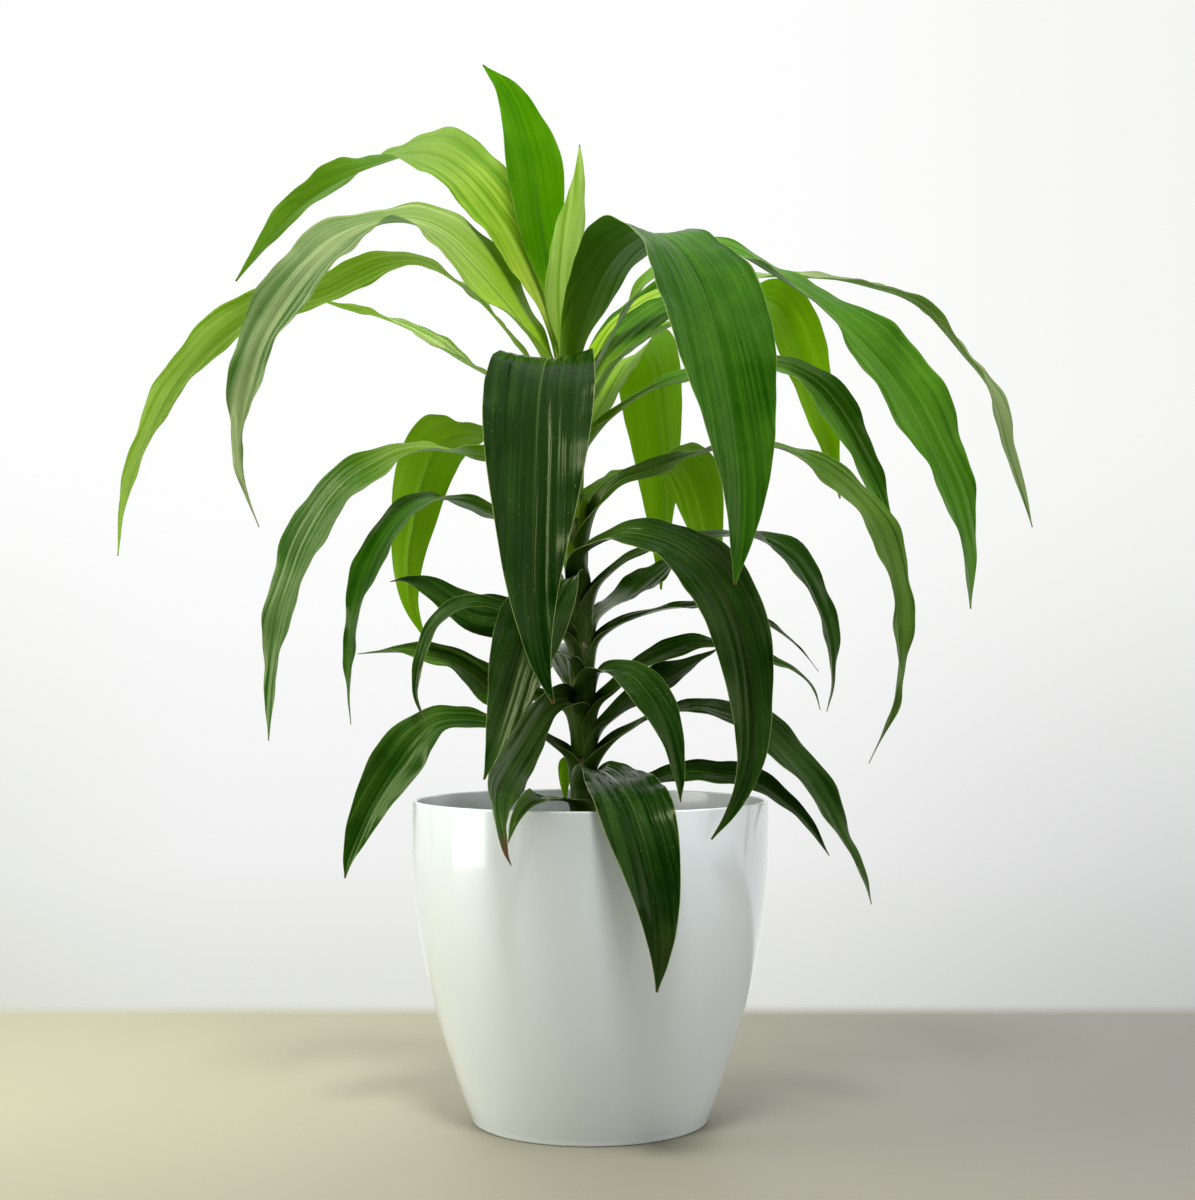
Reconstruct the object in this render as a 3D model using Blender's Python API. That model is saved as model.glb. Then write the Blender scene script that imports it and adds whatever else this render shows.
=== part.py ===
"""Potted Janet Craig dracaena: a glossy white planter, soil, one stem and forty strap leaves.

Metres, +Z up. The origin is the centre of the pot's flat underside.
Leaf paths are drawn in millimetres, as across and up on an upright plane through the pot's axis,
seen from a viewing point in front of the plant, with the depth behind that plane as a third number.
"""
import math
from dataclasses import dataclass

import bmesh
import bpy
import numpy as np
from mathutils import Matrix

MM = 0.001
MERGE_DISTANCE = 0.0001
SHARP_ANGLE = math.radians(40.0)

# Viewing point that the leaf drawings refer to, in mm
EYE = np.array((4.4, -1121.0, 268.0))

# Pot
POT_SEGMENTS = 44
POT_HEIGHT = 195.0
POT_RADIUS = 110.0
POT_BELLY_HEIGHT = 165.0
POT_TAPER = 38.0
POT_TAPER_POWER = 1.75
POT_WALL = 3.0
POT_FLOOR = 4.0
POT_EDGE = 1.6
POT_FILLET = 5.0
POT_LIP = 1.2
POT_WALL_STEPS = 8
POT_STEP_POWER = 1.4

# Soil
SOIL_SEGMENTS = 30
SOIL_TOP = 170.0
SOIL_HOLE_DEPTH = 60.0
SOIL_BUMP = 1.6
SOIL_RING_RADII = (POT_RADIUS, 88.0, 62.0, 38.0, 18.0)
FIT_GAP = 0.3

# Stem
STEM_SEGMENTS = 16
STEM_RINGS = 34
STEM_FOOT = SOIL_TOP - SOIL_HOLE_DEPTH + FIT_GAP
STEM_TIP = 476.0
STEM_RIDGE = 0.22
STEM_FOOT_ACROSS = -4.5
STEM_LEAN = -10.5
STEM_LEAN_START = 230.0
STEM_LEAN_END = 490.0
STEM_RADIUS_HEIGHTS = (100.0, 170.0, 250.0, 330.0, 400.0, 440.0, 465.0, 476.0)
STEM_RADII = (6.9, 6.9, 6.3, 6.5, 6.2, 4.9, 3.2, 2.4)

# Leaves
LEAF_THICKNESS = 0.9
SHEATH_GAP = 0.5
SHEATH_LENGTH = 6.0
SHEATH_WIDTH = 14.0
SHEATH_WRAP = 1.75
SHEATH_FLARE = 0.55
BLADE_START = 30.0
CUP_CURVATURE = 0.008
CUP_END = 46.0
FOLD_SLOPE = 0.10
WAVE_LENGTH = 54.0
WAVE_START = 30.0
WAVE_FULL = 80.0
WAVE_FADE = 0.82
WAVE_TURN = 0.9
EDGE_SHIFT = 2.4
PATH_STEPS = 14
STATION_BASE = 6
STATION_SPACING = 25.0
STATION_BIAS = 1.18
TIP_WIDTH = 1.4
COLUMNS = (-1.0, -0.52, 0.0, 0.52, 1.0)
WIDEST_AT = 0.45
WIDTH_STOPS = (0.0, 0.10, 0.20, 0.30, 0.40, 0.45, 0.55, 0.65, 0.75, 0.85, 0.93, 1.0)
WIDTH_VALUES = (0.26, 0.42, 0.68, 0.86, 0.98, 1.0, 0.93, 0.77, 0.57, 0.36, 0.18, 0.03)


@dataclass(frozen=True)
class Leaf:
    """One leaf: where it leaves the stem, how wide it grows and the path of its midrib.

    Path stops are across, up, depth (mm) and roll (degrees, right-handed about the path).
    """

    name: str
    height: float
    azimuth: float
    width: float
    path: tuple
    widest: float = 0.45
    wave: float = 1.6
    fold: float = 1.0


LEAVES = (
    Leaf("leaf_spear", 466.0, 100.0, 36.5, (
        (-20, 498, 8, 0), (-26, 528, 12, 0), (-32, 560, 16, 0), (-36, 590, 20, 0),
        (-43, 617, 25, 0), (-53, 640, 30, 0), (-68, 657, 34, 0)), 0.6),
    Leaf("leaf_unfurling", 458.0, 315.0, 30.0, (
        (-13, 492, -8, 0), (-14, 520, -9, 0), (-11, 546, -8, 0), (-7, 570, -6, 0),
        (-6, 590, -5, 0), (-7, 606, -4, 0)), 0.45, 0.4),
    Leaf("leaf_arch_left", 452.0, 148.0, 47.0, (
        (-24, 486, 8, -8), (-33, 516, 14, -22), (-44, 541, 20, -32), (-60, 566, 30, -36),
        (-79, 588, 42, -40), (-97, 599, 55, -44), (-113, 600, 66, -36), (-130, 595, 76, -22),
        (-150, 587, 86, -6), (-168, 577, 93, 10), (-186, 564, 98, 20), (-203, 546, 101, 22),
        (-213, 533, 101, 20), (-223, 519, 101, 20)), 0.5),
    Leaf("leaf_tall_left", 438.0, 182.0, 48.0, (
        (-28, 466, 3, -10), (-41, 489, 4, -28), (-59, 512, 5, -42), (-76, 531, 4, -44),
        (-91, 546, 2, -38), (-107, 555, 0, -26), (-126, 557, -3, -20), (-145, 551, -6, -28),
        (-162, 540, -9, -40), (-180, 521, -12, -48), (-195, 500, -14, -50), (-206, 480, -15, -50),
        (-213, 458, -15, -48), (-217, 438, -14, -46), (-219, 420, -12, -30), (-218, 400, -10, -20),
        (-213, 380, -8, -20), (-207, 364, -7, -20)), 0.46, 2.0),
    Leaf("leaf_pale_left", 424.0, 165.0, 31.0, (
        (-30, 455, 12, 0), (-50, 484, 22, -4), (-70, 507, 31, -10), (-88, 521, 37, -6),
        (-106, 531, 42, 4), (-125, 531, 46, 12), (-146, 523, 50, 18), (-168, 512, 52, 22),
        (-190, 506, 52, 24), (-212, 499, 51, 28), (-231, 486, 49, 30), (-248, 469, 47, 30),
        (-262, 451, 45, 30), (-274, 429, 42, 28), (-284, 405, 40, 26), (-292, 378, 38, 22),
        (-295, 346, 37, 20)), 0.55),
    Leaf("leaf_thin_left", 408.0, 160.0, 25.0, (
        (-26, 430, 14, 0), (-44, 446, 34, 0), (-62, 458, 56, -6), (-80, 468, 76, -18),
        (-99, 480, 96, -34), (-117, 490, 112, -34), (-135, 497, 126, -8), (-154, 502, 138, 8),
        (-175, 509, 150, 14)), 0.5, 0.8),
    Leaf("leaf_front_broad", 416.0, 262.0, 62.0, (
        (-16, 446, -22, 0), (-21, 462, -45, 0), (-25, 469, -72, 0), (-28, 468, -98, -3),
        (-31, 455, -120, -5), (-33, 433, -137, -6), (-34, 408, -150, -6), (-35, 380, -161, -7),
        (-36, 350, -171, -8), (-36, 322, -179, -8), (-34, 298, -186, -8), (-30, 275, -191, -8),
        (-23, 254, -194, -8)), 0.46, 1.2),
    Leaf("leaf_right_broad", 446.0, 298.0, 62.0, (
        (-8, 480, -22, 0), (0, 505, -34, 2), (9, 525, -48, 3), (22, 541, -66, 2),
        (38, 549, -86, 2), (53, 541, -104, 6), (65, 524, -119, 14), (74, 503, -131, 20),
        (81, 478, -140, 24), (87, 450, -147, 24), (92, 420, -152, 24), (95, 390, -155, 24),
        (94, 360, -157, 24), (90, 328, -158, 24)), 0.54, 1.0),
    Leaf("leaf_right_inner", 433.0, 83.0, 34.0, (
        (0, 462, 18, 0), (14, 480, 30, 0), (28, 493, 42, 0), (43, 503, 52, 0),
        (58, 509, 60, -4), (72, 506, 66, -10), (82, 494, 70, -14), (88, 474, 72, -16),
        (91, 445, 72, -16), (93, 415, 72, -16)), 0.5),
    Leaf("leaf_right_long", 427.0, 345.0, 50.0, (
        (0, 456, -3, 5), (10, 478, -4, 16), (21, 498, -6, 24), (31, 514, -8, 28),
        (45, 529, -10, 32), (68, 541, -12, 34), (92, 537, -14, 32), (115, 524, -16, 26),
        (135, 511, -18, 26), (154, 496, -20, 40), (173, 477, -22, 54), (188, 459, -24, 62),
        (200, 440, -26, 66), (211, 418, -28, 62), (221, 396, -30, 58), (229, 373, -31, 52),
        (235, 347, -32, 48), (237, 313, -33, 44)), 0.63, 2.0),
    Leaf("leaf_right_thin", 444.0, 52.0, 24.0, (
        (0, 470, 12, 0), (14, 492, 20, 0), (38, 509, 28, 0), (68, 518, 38, -4),
        (102, 522, 46, -8), (132, 522, 54, -12), (156, 520, 58, -12), (177, 515, 60, -14),
        (196, 509, 62, -24), (210, 500, 62, -30), (222, 487, 61, -22), (234, 472, 60, -14),
        (244, 460, 58, -2), (251, 449, 56, 8), (256, 436, 54, 24), (261, 414, 52, 34),
        (267, 396, 50, 38), (272, 380, 49, 40), (276, 364, 48, 40)), 0.6, 1.0),
    Leaf("leaf_right_back", 418.0, 40.0, 40.0, (
        (4, 449, 22, 0), (16, 468, 38, 0), (32, 481, 58, 0), (52, 492, 80, 0),
        (76, 503, 104, 0), (99, 508, 120, -4), (116, 505, 132, -12), (126, 490, 140, -20),
        (133, 468, 145, -22), (141, 442, 148, -22), (149, 415, 149, -22), (156, 382, 149, -22)), 0.62),
    Leaf("leaf_right_mid", 402.0, 5.0, 36.0, (
        (5, 424, 0, 10), (15, 435, 0, 20), (30, 446, 0, 22), (46, 454, 0, 20),
        (61, 459, 1, 18), (86, 464, 2, 16), (112, 465, 2, 18), (128, 460, 2, 28),
        (141, 450, 2, 38), (151, 437, 1, 42), (160, 422, 0, 44), (168, 406, 0, 44),
        (175, 392, -1, 44), (182, 376, -1, 44), (188, 364, -1, 44), (191, 352, -1, 44)), 0.6),
    Leaf("leaf_right_trailing", 348.0, 355.0, 28.0, (
        (3, 374, -5, 20), (10, 386, -8, 42), (21, 395, -11, 50), (38, 400, -14, 36),
        (55, 407, -17, 16), (73, 412, -19, 6), (96, 415, -21, 6), (117, 414, -22, 8),
        (135, 406, -23, 16), (149, 397, -24, 24), (161, 387, -25, 30), (171, 376, -26, 34),
        (179, 364, -27, 36), (185, 350, -27, 36), (189, 336, -28, 36), (192, 320, -28, 36),
        (193, 302, -28, 34), (193, 284, -28, 26), (191, 267, -28, 20), (188, 250, -28, 18),
        (181, 234, -28, 16), (173, 217, -28, 16)), 0.5, 2.0),
    Leaf("leaf_back_bright", 393.0, 51.0, 49.0, (
        (-2, 420, 28, 0), (10, 445, 56, 0), (22, 466, 88, -2), (32, 473, 116, -6),
        (38, 459, 137, -8), (41, 434, 149, -10), (43, 408, 156, -10), (44, 382, 160, -10),
        (44, 355, 162, -10), (44, 325, 162, -10)), 0.5, 1.0),
    Leaf("leaf_back_low", 368.0, 48.0, 44.0, (
        (6, 387, 26, 0), (24, 398, 50, 0), (43, 404, 76, -4), (58, 401, 98, -10),
        (66, 386, 112, -14), (71, 366, 118, -16), (75, 345, 121, -16), (80, 318, 122, -16)), 0.5),
    Leaf("leaf_right_hanging", 322.0, 321.0, 38.0, (
        (-4, 346, -15, 6), (7, 355, -24, 14), (21, 360, -34, 18), (38, 358, -45, 18),
        (54, 352, -55, 22), (68, 342, -64, 28), (79, 329, -72, 32), (87, 314, -79, 33),
        (93, 297, -84, 34), (97, 278, -88, 34), (99, 258, -90, 34), (100, 238, -92, 32),
        (99, 219, -93, 30), (94, 201, -94, 30), (86, 185, -94, 30), (75, 170, -94, 30)), 0.46),
    Leaf("leaf_right_slender", 303.0, 352.0, 28.0, (
        (5, 326, -5, 10), (14, 337, -6, 20), (26, 346, -8, 22), (42, 352, -10, 18),
        (60, 356, -11, 10), (84, 359, -12, 6), (103, 358, -13, 10), (115, 352, -14, 24),
        (126, 344, -14, 32), (135, 331, -15, 36), (141, 318, -15, 36), (146, 305, -15, 34),
        (149, 291, -15, 30), (150, 277, -15, 28), (150, 263, -15, 26), (147, 249, -15, 24)), 0.55),
    Leaf("leaf_right_short", 285.0, 45.0, 27.0, (
        (2, 303, 16, 4), (9, 312, 32, 14), (18, 318, 50, 24), (29, 325, 68, 30),
        (39, 333, 86, 32), (49, 340, 104, 28), (62, 342, 120, 20), (74, 334, 130, 10)), 0.5),
    Leaf("leaf_right_wisp", 272.0, 5.0, 20.0, (
        (5, 292, 2, 8), (13, 300, 3, 16), (24, 306, 5, 20), (36, 310, 7, 14),
        (48, 313, 9, 12), (60, 314, 11, 16), (72, 315, 12, 10), (94, 311, 14, 8),
        (112, 302, 15, 14), (125, 293, 16, 18), (135, 283, 16, 18), (142, 274, 16, 18)), 0.4, 1.2),
    Leaf("leaf_right_flat", 236.0, 355.0, 22.0, (
        (6, 253, -3, 12), (15, 262, -4, 22), (24, 271, -5, 26), (35, 280, -6, 28),
        (48, 286, -8, 28), (63, 291, -9, 24), (79, 290, -10, 18), (96, 287, -11, 14),
        (110, 281, -12, 16), (124, 276, -12, 20), (135, 268, -12, 22), (140, 260, -12, 22),
        (143, 250, -12, 22)), 0.4, 1.4),
    Leaf("leaf_right_stub", 221.0, 14.0, 28.0, (
        (7, 237, 6, 10), (15, 246, 10, 24), (26, 255, 15, 34), (39, 264, 20, 38),
        (52, 272, 25, 40), (66, 280, 29, 40), (79, 288, 32, 40)), 0.55),
    Leaf("leaf_front_right", 254.0, 313.0, 27.0, (
        (4, 272, -15, 0), (14, 274, -27, 4), (25, 271, -39, 6), (34, 262, -49, 6),
        (42, 250, -56, 6), (48, 237, -60, 6), (52, 222, -63, 6), (55, 207, -65, 6),
        (56, 193, -66, 6)), 0.45, 1.0),
    Leaf("leaf_right_low", 206.0, 348.0, 28.0, (
        (8, 222, -5, 10), (16, 232, -7, 18), (26, 239, -9, 14), (36, 245, -11, 6),
        (50, 249, -14, 4), (68, 252, -16, 14), (85, 248, -18, 30), (101, 242, -20, 36),
        (115, 230, -22, 40), (127, 217, -23, 42), (138, 205, -24, 42), (147, 190, -25, 40),
        (155, 174, -26, 36), (163, 159, -26, 32), (170, 145, -26, 28), (174, 130, -26, 26)), 0.5),
    Leaf("leaf_right_bottom", 186.0, 2.0, 21.0, (
        (8, 199, -2, 6), (20, 204, -4, 6), (36, 206, -6, 8), (50, 210, -8, 16),
        (65, 212, -10, 22), (80, 210, -12, 22), (95, 208, -14, 20), (109, 202, -16, 24),
        (121, 193, -17, 30), (132, 183, -18, 30), (141, 171, -18, 26), (148, 160, -18, 24)), 0.5, 0.8),
    Leaf("leaf_over_rim", 196.0, 291.0, 44.0, (
        (3, 211, -24, 0), (8, 212, -46, -4), (14, 208, -70, -6), (20, 201, -94, -4),
        (26, 190, -114, 2), (32, 173, -127, 8), (37, 154, -133, 10), (41, 134, -136, 12),
        (43, 113, -137, 12), (43, 94, -136, 12), (41, 76, -134, 12)), 0.5, 1.2),
    Leaf("leaf_rim_curl", 182.0, 251.0, 16.0, (
        (-12, 193, -25, 0), (-18, 195, -50, 0), (-25, 195, -75, -6), (-33, 195, -97, -14),
        (-41, 190, -111, -20), (-47, 181, -118, -20), (-51, 168, -121, -20)), 0.6, 0.8),
    Leaf("leaf_back_small", 214.0, 112.0, 9.0, (
        (-11, 221, 18, 0), (-15, 218, 28, 10), (-16, 210, 34, 20), (-16, 202, 36, 20),
        (-15, 193, 37, 20)), 0.6, 0.0),
    Leaf("leaf_front_left", 243.0, 215.0, 30.0, (
        (-14, 256, -16, -4), (-21, 256, -27, -12), (-28, 251, -39, -22), (-35, 241, -51, -30),
        (-43, 228, -66, -34), (-52, 214, -87, -34), (-59, 200, -112, -34), (-59, 186, -126, -32),
        (-56, 172, -134, -30), (-53, 162, -138, -28), (-49, 154, -140, -26)), 0.58, 1.2),
    Leaf("leaf_left_bottom", 200.0, 183.0, 32.0, (
        (-15, 220, -2, -4), (-24, 229, -4, -10), (-36, 237, -6, -14), (-50, 242, -9, -12),
        (-65, 243, -12, -10), (-80, 244, -15, -14), (-95, 242, -18, -28), (-108, 232, -21, -42),
        (-119, 217, -24, -52), (-129, 202, -26, -55), (-138, 186, -28, -55), (-145, 170, -30, -52),
        (-150, 157, -31, -50), (-152, 146, -31, -50)), 0.62, 1.8),
    Leaf("leaf_front_drooping", 312.0, 250.0, 42.0, (
        (-13, 330, -17, -4), (-19, 331, -32, -8), (-26, 323, -50, -12), (-34, 308, -68, -15),
        (-40, 290, -83, -16), (-46, 272, -94, -16), (-50, 257, -101, -16), (-55, 241, -109, -16),
        (-60, 225, -117, -16), (-66, 207, -124, -16)), 0.45, 1.0),
    Leaf("leaf_front_stub", 264.0, 235.0, 20.0, (
        (-13, 281, -16, -10), (-21, 287, -26, -20), (-31, 287, -37, -26), (-42, 280, -48, -30)), 0.5, 0.0),
    Leaf("leaf_left_low", 230.0, 172.0, 27.0, (
        (-16, 249, 4, -6), (-28, 256, 7, -24), (-44, 259, 9, -48), (-60, 262, 11, -60),
        (-73, 272, 12, -50), (-86, 280, 13, -40), (-100, 283, 14, -42), (-115, 286, 14, -36),
        (-130, 286, 14, -30), (-145, 285, 14, -26)), 0.5),
    Leaf("leaf_left_rolled", 278.0, 180.0, 29.0, (
        (-17, 295, 0, -14), (-28, 300, 0, -40), (-42, 304, 0, -62), (-57, 307, 0, -70),
        (-72, 309, 0, -64), (-84, 315, 1, -56), (-95, 322, 2, -50), (-106, 328, 3, -46),
        (-117, 331, 4, -40), (-125, 330, 5, -34)), 0.5),
    Leaf("leaf_left_curl", 291.0, 198.0, 13.0, (
        (-17, 305, -6, -10), (-28, 311, -11, -20), (-42, 313, -16, -26), (-57, 315, -20, -26),
        (-72, 318, -23, -24), (-85, 314, -25, -26), (-95, 306, -26, -30), (-101, 296, -27, -34),
        (-105, 284, -27, -34), (-108, 270, -27, -34), (-108, 258, -27, -32), (-105, 248, -27, -30),
        (-101, 240, -27, -30)), 0.5, 0.5),
    Leaf("leaf_left_big", 377.0, 190.0, 36.0, (
        (-26, 397, -2, 6), (-42, 405, -4, 20), (-60, 409, -6, 28), (-75, 411, -8, 14),
        (-90, 412, -10, -6), (-105, 413, -12, -24), (-120, 410, -13, -36), (-135, 402, -14, -44),
        (-148, 394, -15, -48), (-160, 382, -16, -50), (-170, 366, -17, -50), (-178, 350, -17, -50),
        (-184, 333, -18, -50), (-190, 315, -18, -50), (-194, 295, -18, -50), (-197, 275, -18, -48),
        (-199, 255, -18, -44), (-200, 231, -18, -40)), 0.55),
    Leaf("leaf_left_back", 386.0, 145.0, 43.0, (
        (-32, 407, 24, 0), (-50, 416, 44, 0), (-66, 421, 64, 2), (-81, 423, 84, 6),
        (-94, 416, 101, 12), (-102, 402, 113, 18), (-107, 387, 120, 20), (-110, 370, 124, 20),
        (-113, 352, 126, 20), (-114, 335, 127, 20), (-112, 316, 127, 20), (-103, 294, 127, 20)), 0.5),
    Leaf("leaf_left_hanging", 335.0, 187.0, 28.0, (
        (-22, 354, -1, 6), (-35, 362, -3, 18), (-50, 368, -5, 26), (-64, 373, -7, 24),
        (-76, 378, -8, 12), (-88, 381, -9, -2), (-101, 381, -10, -18), (-113, 375, -11, -32),
        (-123, 364, -12, -42), (-131, 352, -12, -44), (-137, 339, -13, -42), (-142, 325, -13, -40),
        (-146, 308, -13, -38), (-148, 292, -13, -30), (-149, 275, -13, -26), (-150, 258, -13, -24),
        (-149, 241, -13, -24)), 0.5),
    Leaf("leaf_back_hidden_high", 399.0, 120.0, 46.0, (
        (-22, 430, 34, 0), (-28, 450, 62, 0), (-32, 458, 92, 0), (-34, 449, 120, 0),
        (-36, 428, 138, 0), (-37, 400, 148, 0), (-37, 370, 154, 0), (-37, 340, 157, 0),
        (-35, 308, 158, 0)), 0.5, 1.2),
    Leaf("leaf_back_hidden_low", 250.0, 105.0, 34.0, (
        (-12, 268, 22, 0), (-17, 280, 46, 0), (-22, 288, 72, 0), (-28, 287, 98, 0),
        (-34, 275, 118, 0), (-40, 258, 130, 0), (-45, 240, 137, 0), (-50, 224, 141, 0)), 0.5, 1.2),
)

# Finishes: name, colour, roughness
FINISHES = {
    "planter_white": ((0.86, 0.86, 0.84, 1.0), 0.12),
    "potting_soil": ((0.045, 0.030, 0.020, 1.0), 0.95),
    "stem_bark": ((0.20, 0.17, 0.11, 1.0), 0.75),
    "leaf_green": ((0.07, 0.17, 0.035, 1.0), 0.38),
}


def clear_scene():
    """Remove every object, mesh and material from the scene."""
    for item in list(bpy.data.objects):
        bpy.data.objects.remove(item, do_unlink=True)
    for mesh in list(bpy.data.meshes):
        bpy.data.meshes.remove(mesh)
    for material in list(bpy.data.materials):
        bpy.data.materials.remove(material)


def make_finish(name):
    """Return the Principled material of one finish."""
    colour, roughness = FINISHES[name]
    material = bpy.data.materials.new(name)
    material.use_nodes = True
    shader = material.node_tree.nodes["Principled BSDF"]
    shader.inputs["Base Color"].default_value = colour
    shader.inputs["Roughness"].default_value = roughness
    material.diffuse_color = colour
    return material


def add_object(name, shape, material):
    """Turn a shape drawn in mm into one smoothly shaded object in metres."""
    bmesh.ops.scale(shape, vec=(MM, MM, MM), verts=shape.verts)
    mesh = bpy.data.meshes.new(name)
    shape.to_mesh(mesh)
    shape.free()
    mesh.shade_smooth()
    mesh.set_sharp_from_angle(angle=SHARP_ANGLE)
    mesh.materials.append(material)
    solid = bpy.data.objects.new(name, mesh)
    bpy.context.scene.collection.objects.link(solid)
    return solid


def smoothstep(low, high, value):
    """Ease from 0 at low to 1 at high."""
    share = min(max((value - low) / (high - low), 0.0), 1.0)
    return share * share * (3.0 - 2.0 * share)


def pot_radius(height):
    """Outside radius of the pot at a height."""
    share = max(POT_BELLY_HEIGHT - height, 0.0) / POT_BELLY_HEIGHT
    return POT_RADIUS - POT_TAPER * share ** POT_TAPER_POWER


def wall_levels():
    """Heights at which the pot's wall and the soil's side turn, closer together near the foot."""
    shares = (step / POT_WALL_STEPS for step in range(1, POT_WALL_STEPS + 1))
    return [POT_BELLY_HEIGHT * share ** POT_STEP_POWER for share in shares]


def arc(centre, radii, start, end, steps):
    """Points of an elliptical arc as (radius, height), between two angles in degrees."""
    points = []
    for step in range(steps + 1):
        angle = math.radians(start + (end - start) * step / steps)
        points.append((centre[0] + radii[0] * math.cos(angle), centre[1] + radii[1] * math.sin(angle)))
    return points


def make_pot(material):
    """The planter: one turned wall with a flat bottom, a rounded foot and a rounded lip."""
    inner_foot = pot_radius(POT_FLOOR + POT_FILLET) - POT_WALL
    outer_foot = pot_radius(POT_EDGE)
    lip_base = POT_HEIGHT - POT_LIP
    lip_centre = (POT_RADIUS - 0.5 * POT_WALL, lip_base)
    profile = [(0.0, POT_FLOOR)]
    profile += arc((inner_foot - POT_FILLET, POT_FLOOR + POT_FILLET), (POT_FILLET, POT_FILLET), -90.0, 0.0, 2)
    profile += [(pot_radius(level) - POT_WALL, level) for level in wall_levels()[1:]]
    profile += arc(lip_centre, (0.5 * POT_WALL, POT_LIP), 180.0, 0.0, 4)
    profile += [(pot_radius(level), level) for level in reversed(wall_levels())]
    profile += arc((outer_foot - POT_EDGE, POT_EDGE), (POT_EDGE, POT_EDGE), 0.0, -90.0, 2)
    profile.append((0.0, 0.0))
    shape = bmesh.new()
    corners = [shape.verts.new((radius, 0.0, height)) for radius, height in profile]
    for here, after in zip(corners, corners[1:]):
        shape.edges.new((here, after))
    pot = add_object("pot", shape, material)
    turning = pot.modifiers.new("Turning", "SCREW")
    turning.axis = "Z"
    turning.angle = 2.0 * math.pi
    turning.steps = POT_SEGMENTS
    turning.render_steps = POT_SEGMENTS
    turning.use_smooth_shade = True
    turning.use_merge_vertices = True
    turning.merge_threshold = MERGE_DISTANCE
    return pot


def draw_ring(shape, segments, radius, height, centre=(0.0, 0.0)):
    """Draw one level ring and return its points in order."""
    place = Matrix.Translation((centre[0], centre[1], height))
    drawn = bmesh.ops.create_circle(shape, cap_ends=False, segments=segments, radius=radius, matrix=place)
    return drawn["verts"]


def skin_rings(shape, rings):
    """Skin a stack of rings in order, close both ends and split every face into triangles."""
    for lower, upper in zip(rings, rings[1:]):
        for index in range(len(lower)):
            after = (index + 1) % len(lower)
            shape.faces.new((lower[index], lower[after], upper[after], upper[index]))
    for end in (rings[0], rings[-1]):
        shape.faces.new(end)
    bmesh.ops.recalc_face_normals(shape, faces=shape.faces)
    bmesh.ops.triangulate(shape, faces=shape.faces)


def soil_height(across, depth):
    """Height of the soil surface at a place, gently uneven."""
    radius = math.hypot(across, depth)
    angle = math.atan2(depth, across)
    bump = math.sin(radius * 0.11 + 2.0 * angle) + 0.7 * math.sin(radius * 0.19 - 3.0 * angle + 1.3)
    return SOIL_TOP + 0.5 * SOIL_BUMP * bump


def make_soil(material):
    """The soil: fills the pot from its floor, with a blind hole that the stem stands in."""
    shape = bmesh.new()
    rings = []
    clearance = POT_WALL + 2.0 * FIT_GAP
    floor = POT_FLOOR + FIT_GAP
    foot = pot_radius(floor) - clearance - POT_FILLET
    rings.append(draw_ring(shape, SOIL_SEGMENTS, foot, floor))
    for level in wall_levels()[1:-1]:
        rings.append(draw_ring(shape, SOIL_SEGMENTS, pot_radius(level) - clearance, level))
    centre = stem_centre(SOIL_TOP)
    for radius in SOIL_RING_RADII:
        reach = min(radius, POT_RADIUS - clearance)
        pull = 1.0 - smoothstep(SOIL_RING_RADII[-1], SOIL_RING_RADII[-3], radius)
        ring = draw_ring(shape, SOIL_SEGMENTS, reach, SOIL_TOP, centre * pull)
        for point in ring:
            point.co.z = soil_height(point.co.x, point.co.y)
        rings.append(ring)
    hole = stem_radius(SOIL_TOP) + FIT_GAP
    for level in (SOIL_TOP, SOIL_TOP - SOIL_HOLE_DEPTH):
        rings.append(draw_ring(shape, SOIL_SEGMENTS, hole, level, centre))
    skin_rings(shape, rings)
    return add_object("soil", shape, material)


def stem_centre(height):
    """Centre of the stem at a height, as across and depth."""
    lean = smoothstep(STEM_LEAN_START, STEM_LEAN_END, height)
    return np.array((STEM_FOOT_ACROSS + STEM_LEAN * lean, 0.0))


def stem_radius(height):
    """Radius of the stem at a height."""
    return float(np.interp(height, STEM_RADIUS_HEIGHTS, STEM_RADII))


def make_stem(material):
    """The stem: a ringed round trunk that narrows to its tip in the crown."""
    shape = bmesh.new()
    rings = []
    for index in range(STEM_RINGS):
        height = STEM_FOOT + (STEM_TIP - STEM_FOOT) * index / (STEM_RINGS - 1)
        ridge = STEM_RIDGE * (index % 2) if height > SOIL_TOP else 0.0
        radius = stem_radius(height) - ridge
        rings.append(draw_ring(shape, STEM_SEGMENTS, radius, height, stem_centre(height)))
    skin_rings(shape, rings)
    return add_object("stem", shape, material)


def from_drawing(across, up, depth):
    """Place a drawn point at its depth, along the line of sight from the viewing point."""
    drawn = np.array((across, 0.0, up))
    return EYE + (drawn - EYE) * (1.0 + depth / -EYE[1])


def base_points(leaf):
    """The two points of the clasping base, on the stem."""
    angle = math.radians(leaf.azimuth)
    outward = np.array((math.cos(angle), math.sin(angle), 0.0))
    points = []
    for rise, flare in ((0.0, 0.0), (SHEATH_LENGTH, SHEATH_FLARE)):
        height = leaf.height + rise
        radius = base_bend_radius(leaf) + flare
        centre = stem_centre(height)
        points.append(np.array((centre[0], centre[1], height)) + outward * radius)
    return points, outward


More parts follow.
